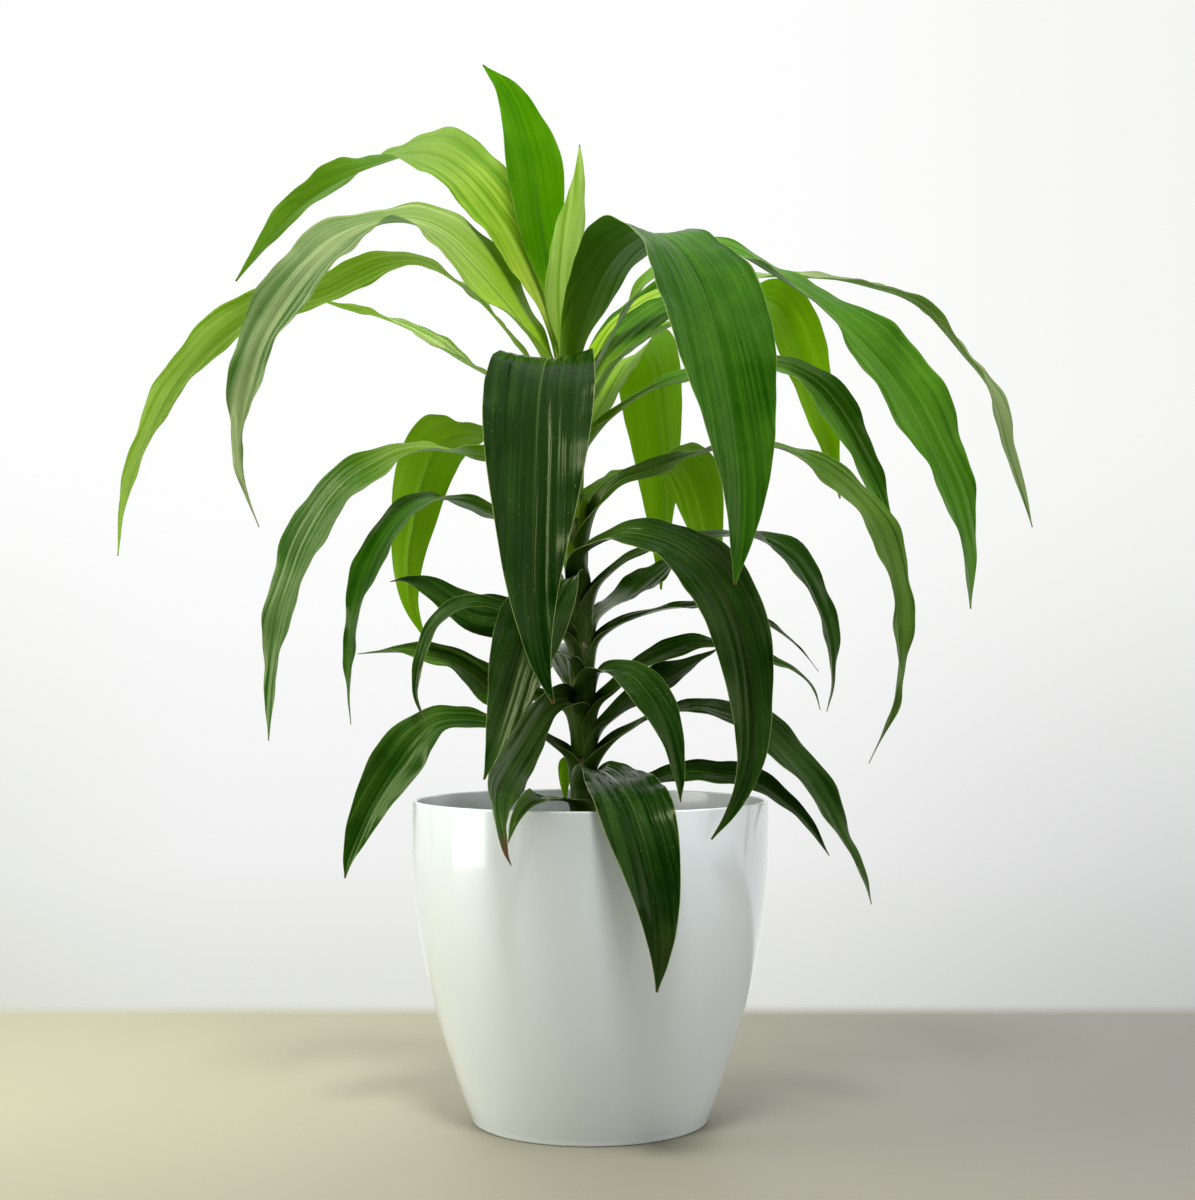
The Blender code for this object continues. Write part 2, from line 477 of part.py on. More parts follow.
def smooth_path(points, rolls, steps):
    """Centripetal curve through the points; returns dense points, rolls and arc lengths."""
    knots = [2.0 * points[0] - points[1]] + list(points) + [2.0 * points[-1] - points[-2]]
    turns = [rolls[0]] + list(rolls) + [rolls[-1]]
    dense = []
    dense_rolls = []
    for index in range(1, len(knots) - 2):
        p0, p1, p2, p3 = knots[index - 1:index + 3]
        d1 = math.sqrt(np.linalg.norm(p1 - p0))
        d2 = math.sqrt(np.linalg.norm(p2 - p1))
        d3 = math.sqrt(np.linalg.norm(p3 - p2))
        m1 = (p1 - p0) / d1 - (p2 - p0) / (d1 + d2) + (p2 - p1) / d2
        m2 = (p2 - p1) / d2 - (p3 - p1) / (d2 + d3) + (p3 - p2) / d3
        m1 = m1 * d2
        m2 = m2 * d2
        for step in range(steps):
            t = step / steps
            t2 = t * t
            t3 = t2 * t
            point = (2 * t3 - 3 * t2 + 1) * p1 + (t3 - 2 * t2 + t) * m1
            point = point + (3 * t2 - 2 * t3) * p2 + (t3 - t2) * m2
            dense.append(point)
            ease = smoothstep(0.0, 1.0, t) * 0.5 + 0.5 * t
            dense_rolls.append(turns[index] + (turns[index + 1] - turns[index]) * ease)
    dense.append(points[-1])
    dense_rolls.append(rolls[-1])
    dense = np.array(dense)
    gaps = np.linalg.norm(np.diff(dense, axis=0), axis=1)
    lengths = np.concatenate(([0.0], np.cumsum(gaps)))
    return dense, np.array(dense_rolls), lengths


def frames_along(dense, rolls, first_normal):
    """Tangent, across and face directions carried along the path, then rolled."""
    tangents = np.gradient(dense, axis=0)
    tangents /= np.linalg.norm(tangents, axis=1)[:, None]
    normal = first_normal
    sides = []
    normals = []
    for tangent, roll in zip(tangents, np.radians(rolls)):
        normal = normal - tangent * float(np.dot(normal, tangent))
        normal = normal / np.linalg.norm(normal)
        side = np.cross(normal, tangent)
        lift = np.cross(tangent, side)
        sides.append(side * math.cos(roll) + lift * math.sin(roll))
        normals.append(normal * math.cos(roll) - side * math.sin(roll))
    return tangents, np.array(sides), np.array(normals)


def width_share(share, widest):
    """Width of a leaf as a share of its widest, at a share of its length."""
    warped = share ** (math.log(WIDEST_AT) / math.log(widest))
    index = int(np.searchsorted(WIDTH_STOPS, warped, side="right")) - 1
    index = min(max(index, 0), len(WIDTH_STOPS) - 2)
    low, high = WIDTH_STOPS[index:index + 2]
    first, second = WIDTH_VALUES[index:index + 2]
    before = WIDTH_VALUES[max(index - 1, 0)]
    after = WIDTH_VALUES[min(index + 2, len(WIDTH_VALUES) - 1)]
    t = (warped - low) / (high - low)
    m1 = 0.5 * (second - before)
    m2 = 0.5 * (after - first)
    t2 = t * t
    t3 = t2 * t
    value = (2 * t3 - 3 * t2 + 1) * first + (t3 - 2 * t2 + t) * m1
    return value + (3 * t2 - 2 * t3) * second + (t3 - t2) * m2


def base_bend_radius(leaf):
    """Radius to which the clasping base of a leaf is bent."""
    return stem_radius(leaf.height) + SHEATH_GAP + 0.5 * LEAF_THICKNESS


def leaf_half_width(leaf, distance, length):
    """Half the width of a leaf at a distance along its midrib."""
    share = distance / length
    blade = leaf.width * width_share(share, leaf.widest)
    sheath = min(SHEATH_WIDTH, 4.0 + 0.6 * leaf.width, SHEATH_WRAP * base_bend_radius(leaf))
    blend = smoothstep(0.0, min(BLADE_START, 0.3 * length), distance)
    width = sheath + (blade - sheath) * blend
    return 0.5 * max(width, TIP_WIDTH)


def section_point(leaf, distance, length, column, half):
    """Offset across and towards the upper face, of one point of a cross-section."""
    arm = column * half
    base_radius = base_bend_radius(leaf)
    ease = smoothstep(SHEATH_LENGTH, min(CUP_END, 0.5 * length), distance)
    bend = 1.0 / base_radius + (CUP_CURVATURE - 1.0 / base_radius) * ease
    across = math.sin(bend * arm) / bend
    rise = (1.0 - math.cos(bend * arm)) / bend
    rise += FOLD_SLOPE * leaf.fold * abs(arm) * ease
    phase = WAVE_TURN * leaf.azimuth + (0.0 if column > 0.0 else EDGE_SHIFT)
    fade = smoothstep(WAVE_START, WAVE_FULL, distance) * (1.0 - smoothstep(WAVE_FADE, 1.0, distance / length))
    swing = math.sin(2.0 * math.pi * distance / WAVE_LENGTH + phase)
    rise += leaf.wave * fade * column * column * swing
    return across, rise


def leaf_stations(length):
    """Distances along the midrib at which the leaf has a cross-section."""
    count = int(round(STATION_BASE + length / STATION_SPACING))
    shares = np.linspace(0.0, 1.0, count) ** STATION_BIAS
    inner = [float(value) for value in shares * length]
    stations = [0.0, 0.55 * SHEATH_LENGTH] + [value for value in inner if value > SHEATH_LENGTH]
    return stations


def leaf_surface(leaf, stations_for, columns):
    """Grid of midsurface points of a leaf, in mm."""
    base, outward = base_points(leaf)
    points = base + [from_drawing(*stop[:3]) for stop in leaf.path]
    rolls = [0.0, 0.0] + [float(stop[3]) for stop in leaf.path]
    dense, dense_rolls, lengths = smooth_path(points, rolls, PATH_STEPS)
    tangents, sides, normals = frames_along(dense, dense_rolls, -outward)
    length = float(lengths[-1])
    rows = []
    for distance in stations_for(length):
        centre = sample(dense, lengths, distance)
        side = sample(sides, lengths, distance)
        side = side / np.linalg.norm(side)
        normal = sample(normals, lengths, distance)
        normal = normal / np.linalg.norm(normal)
        half = leaf_half_width(leaf, distance, length)
        row = []
        for column in columns:
            across, rise = section_point(leaf, distance, length, column, half)
            row.append(centre + side * across + normal * rise)
        rows.append(row)
    return np.array(rows)


def sample(values, lengths, distance):
    """Value of a list of vectors at an arc length."""
    return np.array([np.interp(distance, lengths, values[:, axis]) for axis in range(3)])


def make_leaf(leaf, material):
    """One leaf: a grid bent to its midsurface, thickened evenly to both sides."""
    places = leaf_surface(leaf, leaf_stations, COLUMNS)
    rows, columns = places.shape[:2]
    shape = bmesh.new()
    bmesh.ops.create_grid(shape, x_segments=columns - 1, y_segments=rows - 1, size=1.0)
    for point in shape.verts:
        column = round(0.5 * (point.co.x + 1.0) * (columns - 1))
        row = round(0.5 * (point.co.y + 1.0) * (rows - 1))
        point.co = places[row, column]
    bmesh.ops.triangulate(shape, faces=shape.faces, quad_method="SHORT_EDGE")
    blade = add_object(leaf.name, shape, material)
    thickness = blade.modifiers.new("Thickness", "SOLIDIFY")
    thickness.thickness = LEAF_THICKNESS * MM
    thickness.offset = 0.0
    return blade


def main():
    """Build every piece."""
    clear_scene()
    make_pot(make_finish("planter_white"))
    make_soil(make_finish("potting_soil"))
    make_stem(make_finish("stem_bark"))
    green = make_finish("leaf_green")
    for leaf in LEAVES:
        make_leaf(leaf, green)


main()
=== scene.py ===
"""Potted Janet Craig dracaena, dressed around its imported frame.

Lengths are in millimetres in the leaf table and in every class, and turn into metres when a mesh is
made. The origin is the centre of the pot's flat underside, +Z is up and the viewer looks along +Y.
"""
import logging
import math
from dataclasses import dataclass, field
from enum import Enum
from typing import Any, Sequence

import bmesh
import bpy
import numpy as np
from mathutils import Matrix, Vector


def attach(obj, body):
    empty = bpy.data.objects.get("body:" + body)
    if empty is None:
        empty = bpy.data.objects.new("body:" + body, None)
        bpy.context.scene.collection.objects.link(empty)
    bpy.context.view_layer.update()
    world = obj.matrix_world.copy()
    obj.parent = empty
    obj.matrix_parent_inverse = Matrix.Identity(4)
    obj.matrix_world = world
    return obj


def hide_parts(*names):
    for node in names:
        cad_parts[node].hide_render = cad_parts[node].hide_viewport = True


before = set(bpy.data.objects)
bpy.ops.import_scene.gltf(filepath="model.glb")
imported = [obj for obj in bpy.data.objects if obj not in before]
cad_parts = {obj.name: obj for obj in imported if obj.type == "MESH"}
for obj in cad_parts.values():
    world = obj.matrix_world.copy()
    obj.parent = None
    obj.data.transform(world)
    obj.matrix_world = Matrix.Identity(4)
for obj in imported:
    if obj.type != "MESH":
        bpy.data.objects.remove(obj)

log = logging.getLogger("dracaena")

MM = 0.001
BODY = "root"
FULL_TURN = 2.0 * math.pi
EYE = (4.4, -1121.0, 268.0)
SINE_MEAN = 0.64
SMOOTH_BELOW_DEG = 40.0
BLADE_SMOOTH_BELOW_DEG = 60.0

Colour = tuple[float, float, float]


class Growth(Enum):
    """How old a leaf is and how it stands to the light. Back leaves get a brighter colour set that paints the
    light shining through from behind, and some upward-facing leaves get one that paints a silvery sheen.
    """

    SPEAR = "spear"
    YOUNG = "young"
    PALE = "pale"
    PAINTED_BACKLIGHT = "lit"
    PAINTED_SHEEN = "silver"
    OLIVE = "olive"
    MIDDLE = "middle"
    MATURE = "mature"


@dataclass(frozen=True)
class Leaf:
    """One leaf: where it leaves the stem, how wide it grows, the path of its midrib and its age.

    Path stops are across, up, depth (mm) and roll (degrees, right-handed about the path). Across
    and up are drawn on an upright plane through the pot's axis, seen from the viewing point. The
    shoulder is how much fuller the lower half is, and dry_tip is the length of the brown tip.
    """

    name: str
    height: float
    azimuth: float
    width: float
    path: tuple
    widest: float = 0.45
    wave: float = 1.6
    growth: Growth = Growth.MATURE
    # Shifts the leaf's colour lighter or darker: partly its own tone, partly painted shade that makes the
    # leaves in front darker.
    tone_and_shade_shift: float = 0.0
    shoulder: float = 0.0
    dry_tip: float = 1.6


LEAVES = (
    Leaf("leaf_spear", 466.0, 100.0, 36.5, (
        (-20, 498, 8, 0), (-26, 528, 12, 0), (-32, 560, 16, 0), (-36, 590, 20, 0),
        (-43, 617, 25, 0), (-53, 640, 30, 0), (-68, 657, 34, 0)), 0.6, growth=Growth.SPEAR),
    Leaf("leaf_unfurling", 458.0, 315.0, 30.0, (
        (-13, 492, -8, 0), (-14, 520, -9, 0), (-11, 546, -8, 0), (-7, 570, -6, 0),
        (-6, 590, -5, 0), (-7, 606, -4, 0)), 0.45, 0.4, growth=Growth.PALE, tone_and_shade_shift=0.45, shoulder=0.15),
    Leaf("leaf_arch_left", 452.0, 148.0, 47.0, (
        (-24, 486, 8, -8), (-33, 516, 14, -22), (-44, 541, 20, -32), (-60, 566, 30, -36),
        (-79, 588, 42, -40), (-97, 599, 55, -44), (-113, 600, 66, -36), (-130, 595, 76, -22),
        (-150, 587, 86, -6), (-168, 577, 93, 10), (-186, 564, 98, 20), (-203, 546, 101, 22),
        (-213, 533, 101, 20), (-223, 519, 101, 20)), 0.5, growth=Growth.YOUNG, shoulder=0.12, dry_tip=3.0),
    Leaf("leaf_tall_left", 438.0, 182.0, 48.0, (
        (-28, 466, 3, -10), (-41, 489, 4, -28), (-59, 512, 5, -42), (-76, 531, 4, -44),
        (-91, 546, 2, -38), (-107, 555, 0, -26), (-126, 557, -3, -20), (-145, 551, -6, -28),
        (-162, 540, -9, -40), (-180, 521, -12, -48), (-195, 500, -14, -50), (-206, 480, -15, -50),
        (-213, 458, -15, -48), (-217, 438, -14, -46), (-219, 420, -12, -30), (-218, 400, -10, -20),
        (-213, 380, -8, -20), (-207, 364, -7, -20)), 0.46, 2.0,
        growth=Growth.PAINTED_SHEEN, tone_and_shade_shift=0.2, shoulder=0.42),
    Leaf("leaf_pale_left", 424.0, 165.0, 31.0, (
        (-30, 455, 12, 0), (-50, 484, 22, -4), (-70, 507, 31, -10), (-88, 521, 37, -6),
        (-106, 531, 42, 4), (-125, 531, 46, 12), (-146, 523, 50, 18), (-168, 512, 52, 22),
        (-190, 506, 52, 24), (-212, 499, 51, 28), (-231, 486, 49, 30), (-248, 469, 47, 30),
        (-262, 451, 45, 30), (-274, 429, 42, 28), (-284, 405, 40, 26), (-292, 378, 38, 22),
        (-295, 346, 37, 20)), 0.55, growth=Growth.PALE, tone_and_shade_shift=0.28),
    Leaf("leaf_thin_left", 408.0, 160.0, 25.0, (
        (-26, 430, 14, 0), (-44, 446, 34, 0), (-62, 458, 56, -6), (-80, 468, 76, -18),
        (-99, 480, 96, -34), (-117, 490, 112, -34), (-135, 497, 126, -8), (-154, 502, 138, 8),
        (-175, 509, 150, 14)), 0.5, 0.8, growth=Growth.PALE),
    Leaf("leaf_front_broad", 416.0, 262.0, 62.0, (
        (-16, 446, -22, 0), (-21, 462, -45, 0), (-25, 469, -72, 0), (-28, 468, -98, -3),
        (-31, 455, -120, -5), (-33, 433, -137, -6), (-34, 408, -150, -6), (-35, 380, -161, -7),
        (-36, 350, -171, -8), (-36, 322, -179, -8), (-34, 298, -186, -8), (-30, 275, -191, -8),
        (-23, 254, -194, -8)), 0.46, 1.2, tone_and_shade_shift=-0.42),
    Leaf("leaf_right_broad", 446.0, 298.0, 62.0, (
        (-8, 480, -22, 0), (0, 505, -34, 2), (9, 525, -48, 3), (22, 541, -66, 2),
        (38, 549, -86, 2), (53, 541, -104, 6), (65, 524, -119, 14), (74, 503, -131, 20),
        (81, 478, -140, 24), (87, 450, -147, 24), (92, 420, -152, 24), (95, 390, -155, 24),
        (94, 360, -157, 24), (90, 328, -158, 24)), 0.54, 1.0,
        growth=Growth.MIDDLE, tone_and_shade_shift=-0.08, shoulder=0.3),
    Leaf("leaf_right_inner", 433.0, 83.0, 34.0, (
        (0, 462, 18, 0), (14, 480, 30, 0), (28, 493, 42, 0), (43, 503, 52, 0),
        (58, 509, 60, -4), (72, 506, 66, -10), (82, 494, 70, -14), (88, 474, 72, -16),
        (91, 445, 72, -16), (93, 415, 72, -16)), 0.5, growth=Growth.MIDDLE),
    Leaf("leaf_right_long", 427.0, 345.0, 50.0, (
        (0, 456, -3, 5), (10, 478, -4, 16), (21, 498, -6, 24), (31, 514, -8, 28),
        (45, 529, -10, 32), (68, 541, -12, 34), (92, 537, -14, 32), (115, 524, -16, 26),
        (135, 511, -18, 26), (154, 496, -20, 40), (173, 477, -22, 54), (188, 459, -24, 62),
        (200, 440, -26, 66), (211, 418, -28, 62), (221, 396, -30, 58), (229, 373, -31, 52),
        (235, 347, -32, 48), (237, 313, -33, 44)), 0.63, 2.0, growth=Growth.MIDDLE, tone_and_shade_shift=0.3),
    Leaf("leaf_right_thin", 444.0, 52.0, 24.0, (
        (0, 470, 12, 0), (14, 492, 20, 0), (38, 509, 28, 0), (68, 518, 38, -4),
        (102, 522, 46, -8), (132, 522, 54, -12), (156, 520, 58, -12), (177, 515, 60, -14),
        (196, 509, 62, -24), (210, 500, 62, -30), (222, 487, 61, -22), (234, 472, 60, -14),
        (244, 460, 58, -2), (251, 449, 56, 8), (256, 436, 54, 24), (261, 414, 52, 34),
        (267, 396, 50, 38), (272, 380, 49, 40), (276, 364, 48, 40)), 0.6, 1.0,
        growth=Growth.PAINTED_SHEEN, tone_and_shade_shift=0.25),
    Leaf("leaf_right_back", 418.0, 40.0, 40.0, (
        (4, 449, 22, 0), (16, 468, 38, 0), (32, 481, 58, 0), (52, 492, 80, 0),
        (76, 503, 104, 0), (99, 508, 120, -4), (116, 505, 132, -12), (126, 490, 140, -20),
        (133, 468, 145, -22), (141, 442, 148, -22), (149, 415, 149, -22), (156, 382, 149, -22)), 0.62,
        growth=Growth.PAINTED_BACKLIGHT),
    Leaf("leaf_right_mid", 402.0, 5.0, 36.0, (
        (5, 424, 0, 10), (15, 435, 0, 20), (30, 446, 0, 22), (46, 454, 0, 20),
        (61, 459, 1, 18), (86, 464, 2, 16), (112, 465, 2, 18), (128, 460, 2, 28),
        (141, 450, 2, 38), (151, 437, 1, 42), (160, 422, 0, 44), (168, 406, 0, 44),
        (175, 392, -1, 44), (182, 376, -1, 44), (188, 364, -1, 44), (191, 352, -1, 44)), 0.6,
        growth=Growth.MIDDLE, tone_and_shade_shift=0.45),
    Leaf("leaf_right_trailing", 348.0, 355.0, 28.0, (
        (3, 374, -5, 20), (10, 386, -8, 42), (21, 395, -11, 50), (38, 400, -14, 36),
        (55, 407, -17, 16), (73, 412, -19, 6), (96, 415, -21, 6), (117, 414, -22, 8),
        (135, 406, -23, 16), (149, 397, -24, 24), (161, 387, -25, 30), (171, 376, -26, 34),
        (179, 364, -27, 36), (185, 350, -27, 36), (189, 336, -28, 36), (192, 320, -28, 36),
        (193, 302, -28, 34), (193, 284, -28, 26), (191, 267, -28, 20), (188, 250, -28, 18),
        (181, 234, -28, 16), (173, 217, -28, 16)), 0.5, 2.0, growth=Growth.OLIVE, tone_and_shade_shift=0.3),
    Leaf("leaf_back_bright", 393.0, 51.0, 49.0, (
        (-2, 420, 28, 0), (10, 445, 56, 0), (22, 466, 88, -2), (32, 473, 116, -6),
        (38, 459, 137, -8), (41, 434, 149, -10), (43, 408, 156, -10), (44, 382, 160, -10),
        (44, 355, 162, -10), (44, 325, 162, -10)), 0.5, 1.0, growth=Growth.PAINTED_BACKLIGHT, tone_and_shade_shift=0.15),
    Leaf("leaf_back_low", 368.0, 48.0, 44.0, (
        (6, 387, 26, 0), (24, 398, 50, 0), (43, 404, 76, -4), (58, 401, 98, -10),
        (66, 386, 112, -14), (71, 366, 118, -16), (75, 345, 121, -16), (80, 318, 122, -16)), 0.5,
        growth=Growth.PAINTED_BACKLIGHT),
    Leaf("leaf_right_hanging", 322.0, 321.0, 38.0, (
        (-4, 346, -15, 6), (7, 355, -24, 14), (21, 360, -34, 18), (38, 358, -45, 18),
        (54, 352, -55, 22), (68, 342, -64, 28), (79, 329, -72, 32), (87, 314, -79, 33),
        (93, 297, -84, 34), (97, 278, -88, 34), (99, 258, -90, 34), (100, 238, -92, 32),
        (99, 219, -93, 30), (94, 201, -94, 30), (86, 185, -94, 30), (75, 170, -94, 30)), 0.46,
        tone_and_shade_shift=0.1),
    Leaf("leaf_right_slender", 303.0, 352.0, 28.0, (
        (5, 326, -5, 10), (14, 337, -6, 20), (26, 346, -8, 22), (42, 352, -10, 18),
        (60, 356, -11, 10), (84, 359, -12, 6), (103, 358, -13, 10), (115, 352, -14, 24),
        (126, 344, -14, 32), (135, 331, -15, 36), (141, 318, -15, 36), (146, 305, -15, 34),
        (149, 291, -15, 30), (150, 277, -15, 28), (150, 263, -15, 26), (147, 249, -15, 24)), 0.55),
    Leaf("leaf_right_short", 285.0, 45.0, 27.0, (
        (2, 303, 16, 4), (9, 312, 32, 14), (18, 318, 50, 24), (29, 325, 68, 30),
        (39, 333, 86, 32), (49, 340, 104, 28), (62, 342, 120, 20), (74, 334, 130, 10)), 0.5),
    Leaf("leaf_right_wisp", 272.0, 5.0, 20.0, (
        (5, 292, 2, 8), (13, 300, 3, 16), (24, 306, 5, 20), (36, 310, 7, 14),
        (48, 313, 9, 12), (60, 314, 11, 16), (72, 315, 12, 10), (94, 311, 14, 8),
        (112, 302, 15, 14), (125, 293, 16, 18), (135, 283, 16, 18), (142, 274, 16, 18)), 0.4, 1.2),
    Leaf("leaf_right_flat", 236.0, 355.0, 22.0, (
        (6, 253, -3, 12), (15, 262, -4, 22), (24, 271, -5, 26), (35, 280, -6, 28),
        (48, 286, -8, 28), (63, 291, -9, 24), (79, 290, -10, 18), (96, 287, -11, 14),
        (110, 281, -12, 16), (124, 276, -12, 20), (135, 268, -12, 22), (140, 260, -12, 22),
        (143, 250, -12, 22)), 0.4, 1.4, growth=Growth.OLIVE, tone_and_shade_shift=-0.15, dry_tip=4.0),
    Leaf("leaf_right_stub", 221.0, 14.0, 28.0, (
        (7, 237, 6, 10), (15, 246, 10, 24), (26, 255, 15, 34), (39, 264, 20, 38),
        (52, 272, 25, 40), (66, 280, 29, 40), (79, 288, 32, 40)), 0.55),
    Leaf("leaf_front_right", 254.0, 313.0, 27.0, (
        (4, 272, -15, 0), (14, 274, -27, 4), (25, 271, -39, 6), (34, 262, -49, 6),
        (42, 250, -56, 6), (48, 237, -60, 6), (52, 222, -63, 6), (55, 207, -65, 6),
        (56, 193, -66, 6)), 0.45, 1.0),
    Leaf("leaf_right_low", 206.0, 348.0, 28.0, (
        (8, 222, -5, 10), (16, 232, -7, 18), (26, 239, -9, 14), (36, 245, -11, 6),
        (50, 249, -14, 4), (68, 252, -16, 14), (85, 248, -18, 30), (101, 242, -20, 36),
        (115, 230, -22, 40), (127, 217, -23, 42), (138, 205, -24, 42), (147, 190, -25, 40),
        (155, 174, -26, 36), (163, 159, -26, 32), (170, 145, -26, 28), (174, 130, -26, 26)), 0.5),
    Leaf("leaf_right_bottom", 186.0, 2.0, 21.0, (
        (8, 199, -2, 6), (20, 204, -4, 6), (36, 206, -6, 8), (50, 210, -8, 16),
        (65, 212, -10, 22), (80, 210, -12, 22), (95, 208, -14, 20), (109, 202, -16, 24),
        (121, 193, -17, 30), (132, 183, -18, 30), (141, 171, -18, 26), (148, 160, -18, 24)), 0.5, 0.8),
    Leaf("leaf_over_rim", 196.0, 291.0, 44.0, (
        (3, 211, -24, 0), (8, 212, -46, -4), (14, 208, -70, -6), (20, 201, -94, -4),
        (26, 190, -114, 2), (32, 173, -127, 8), (37, 154, -133, 10), (41, 134, -136, 12),
        (43, 113, -137, 12), (43, 94, -136, 12), (41, 76, -134, 12)), 0.5, 1.2, tone_and_shade_shift=-0.28),
    Leaf("leaf_rim_curl", 182.0, 251.0, 16.0, (
        (-12, 193, -25, 0), (-18, 195, -50, 0), (-25, 195, -75, -6), (-33, 195, -97, -14),
        (-41, 190, -111, -20), (-47, 181, -118, -20), (-51, 168, -121, -20)), 0.6, 0.8,
        growth=Growth.OLIVE),
    Leaf("leaf_back_small", 214.0, 112.0, 9.0, (
        (-11, 221, 18, 0), (-15, 218, 28, 10), (-16, 210, 34, 20), (-16, 202, 36, 20),
        (-15, 193, 37, 20)), 0.6, 0.0, growth=Growth.PAINTED_BACKLIGHT),
    Leaf("leaf_front_left", 243.0, 215.0, 30.0, (
        (-14, 256, -16, -4), (-21, 256, -27, -12), (-28, 251, -39, -22), (-35, 241, -51, -30),
        (-43, 228, -66, -34), (-52, 214, -87, -34), (-59, 200, -112, -34), (-59, 186, -126, -32),
        (-56, 172, -134, -30), (-53, 162, -138, -28), (-49, 154, -140, -26)), 0.58, 1.2,
        growth=Growth.OLIVE, tone_and_shade_shift=-0.1, dry_tip=15.0),
    Leaf("leaf_left_bottom", 200.0, 183.0, 32.0, (
        (-15, 220, -2, -4), (-24, 229, -4, -10), (-36, 237, -6, -14), (-50, 242, -9, -12),
        (-65, 243, -12, -10), (-80, 244, -15, -14), (-95, 242, -18, -28), (-108, 232, -21, -42),
        (-119, 217, -24, -52), (-129, 202, -26, -55), (-138, 186, -28, -55), (-145, 170, -30, -52),
        (-150, 157, -31, -50), (-152, 146, -31, -50)), 0.62, 1.8, growth=Growth.OLIVE, tone_and_shade_shift=-0.3),
    Leaf("leaf_front_drooping", 312.0, 250.0, 42.0, (
        (-13, 330, -17, -4), (-19, 331, -32, -8), (-26, 323, -50, -12), (-34, 308, -68, -15),
        (-40, 290, -83, -16), (-46, 272, -94, -16), (-50, 257, -101, -16), (-55, 241, -109, -16),
        (-60, 225, -117, -16), (-66, 207, -124, -16)), 0.45, 1.0),
    Leaf("leaf_front_stub", 264.0, 235.0, 20.0, (
        (-13, 281, -16, -10), (-21, 287, -26, -20), (-31, 287, -37, -26), (-42, 280, -48, -30)), 0.5, 0.0),
    Leaf("leaf_left_low", 230.0, 172.0, 27.0, (
        (-16, 249, 4, -6), (-28, 256, 7, -24), (-44, 259, 9, -48), (-60, 262, 11, -60),
        (-73, 272, 12, -50), (-86, 280, 13, -40), (-100, 283, 14, -42), (-115, 286, 14, -36),
        (-130, 286, 14, -30), (-145, 285, 14, -26)), 0.5, growth=Growth.OLIVE, tone_and_shade_shift=0.1),
    Leaf("leaf_left_rolled", 278.0, 180.0, 29.0, (
        (-17, 295, 0, -14), (-28, 300, 0, -40), (-42, 304, 0, -62), (-57, 307, 0, -70),
        (-72, 309, 0, -64), (-84, 315, 1, -56), (-95, 322, 2, -50), (-106, 328, 3, -46),
        (-117, 331, 4, -40), (-125, 330, 5, -34)), 0.5, dry_tip=5.0),
    Leaf("leaf_left_curl", 291.0, 198.0, 13.0, (
        (-17, 305, -6, -10), (-28, 311, -11, -20), (-42, 313, -16, -26), (-57, 315, -20, -26),
        (-72, 318, -23, -24), (-85, 314, -25, -26), (-95, 306, -26, -30), (-101, 296, -27, -34),
        (-105, 284, -27, -34), (-108, 270, -27, -34), (-108, 258, -27, -32), (-105, 248, -27, -30),
        (-101, 240, -27, -30)), 0.5, 0.5),
    Leaf("leaf_left_big", 377.0, 190.0, 36.0, (
        (-26, 397, -2, 6), (-42, 405, -4, 20), (-60, 409, -6, 28), (-75, 411, -8, 14),
        (-90, 412, -10, -6), (-105, 413, -12, -24), (-120, 410, -13, -36), (-135, 402, -14, -44),
        (-148, 394, -15, -48), (-160, 382, -16, -50), (-170, 366, -17, -50), (-178, 350, -17, -50),
        (-184, 333, -18, -50), (-190, 315, -18, -50), (-194, 295, -18, -50), (-197, 275, -18, -48),
        (-199, 255, -18, -44), (-200, 231, -18, -40)), 0.55, growth=Growth.PAINTED_SHEEN, tone_and_shade_shift=-0.2),
    Leaf("leaf_left_back", 386.0, 145.0, 43.0, (
        (-32, 407, 24, 0), (-50, 416, 44, 0), (-66, 421, 64, 2), (-81, 423, 84, 6),
        (-94, 416, 101, 12), (-102, 402, 113, 18), (-107, 387, 120, 20), (-110, 370, 124, 20),
        (-113, 352, 126, 20), (-114, 335, 127, 20), (-112, 316, 127, 20), (-103, 294, 127, 20)), 0.5,
        growth=Growth.PAINTED_BACKLIGHT),
    Leaf("leaf_left_hanging", 335.0, 187.0, 28.0, (
        (-22, 354, -1, 6), (-35, 362, -3, 18), (-50, 368, -5, 26), (-64, 373, -7, 24),
        (-76, 378, -8, 12), (-88, 381, -9, -2), (-101, 381, -10, -18), (-113, 375, -11, -32),
        (-123, 364, -12, -42), (-131, 352, -12, -44), (-137, 339, -13, -42), (-142, 325, -13, -40),
        (-146, 308, -13, -38), (-148, 292, -13, -30), (-149, 275, -13, -26), (-150, 258, -13, -24),
        (-149, 241, -13, -24)), 0.5, growth=Growth.MIDDLE),
    Leaf("leaf_back_hidden_high", 399.0, 120.0, 46.0, (
        (-22, 430, 34, 0), (-28, 450, 62, 0), (-32, 458, 92, 0), (-34, 449, 120, 0),
        (-36, 428, 138, 0), (-37, 400, 148, 0), (-37, 370, 154, 0), (-37, 340, 157, 0),
        (-35, 308, 158, 0)), 0.5, 1.2, growth=Growth.PAINTED_BACKLIGHT),
    Leaf("leaf_back_hidden_low", 250.0, 105.0, 34.0, (
        (-12, 268, 22, 0), (-17, 280, 46, 0), (-22, 288, 72, 0), (-28, 287, 98, 0),
        (-34, 275, 118, 0), (-40, 258, 130, 0), (-45, 240, 137, 0), (-50, 224, 141, 0)), 0.5, 1.2),
)


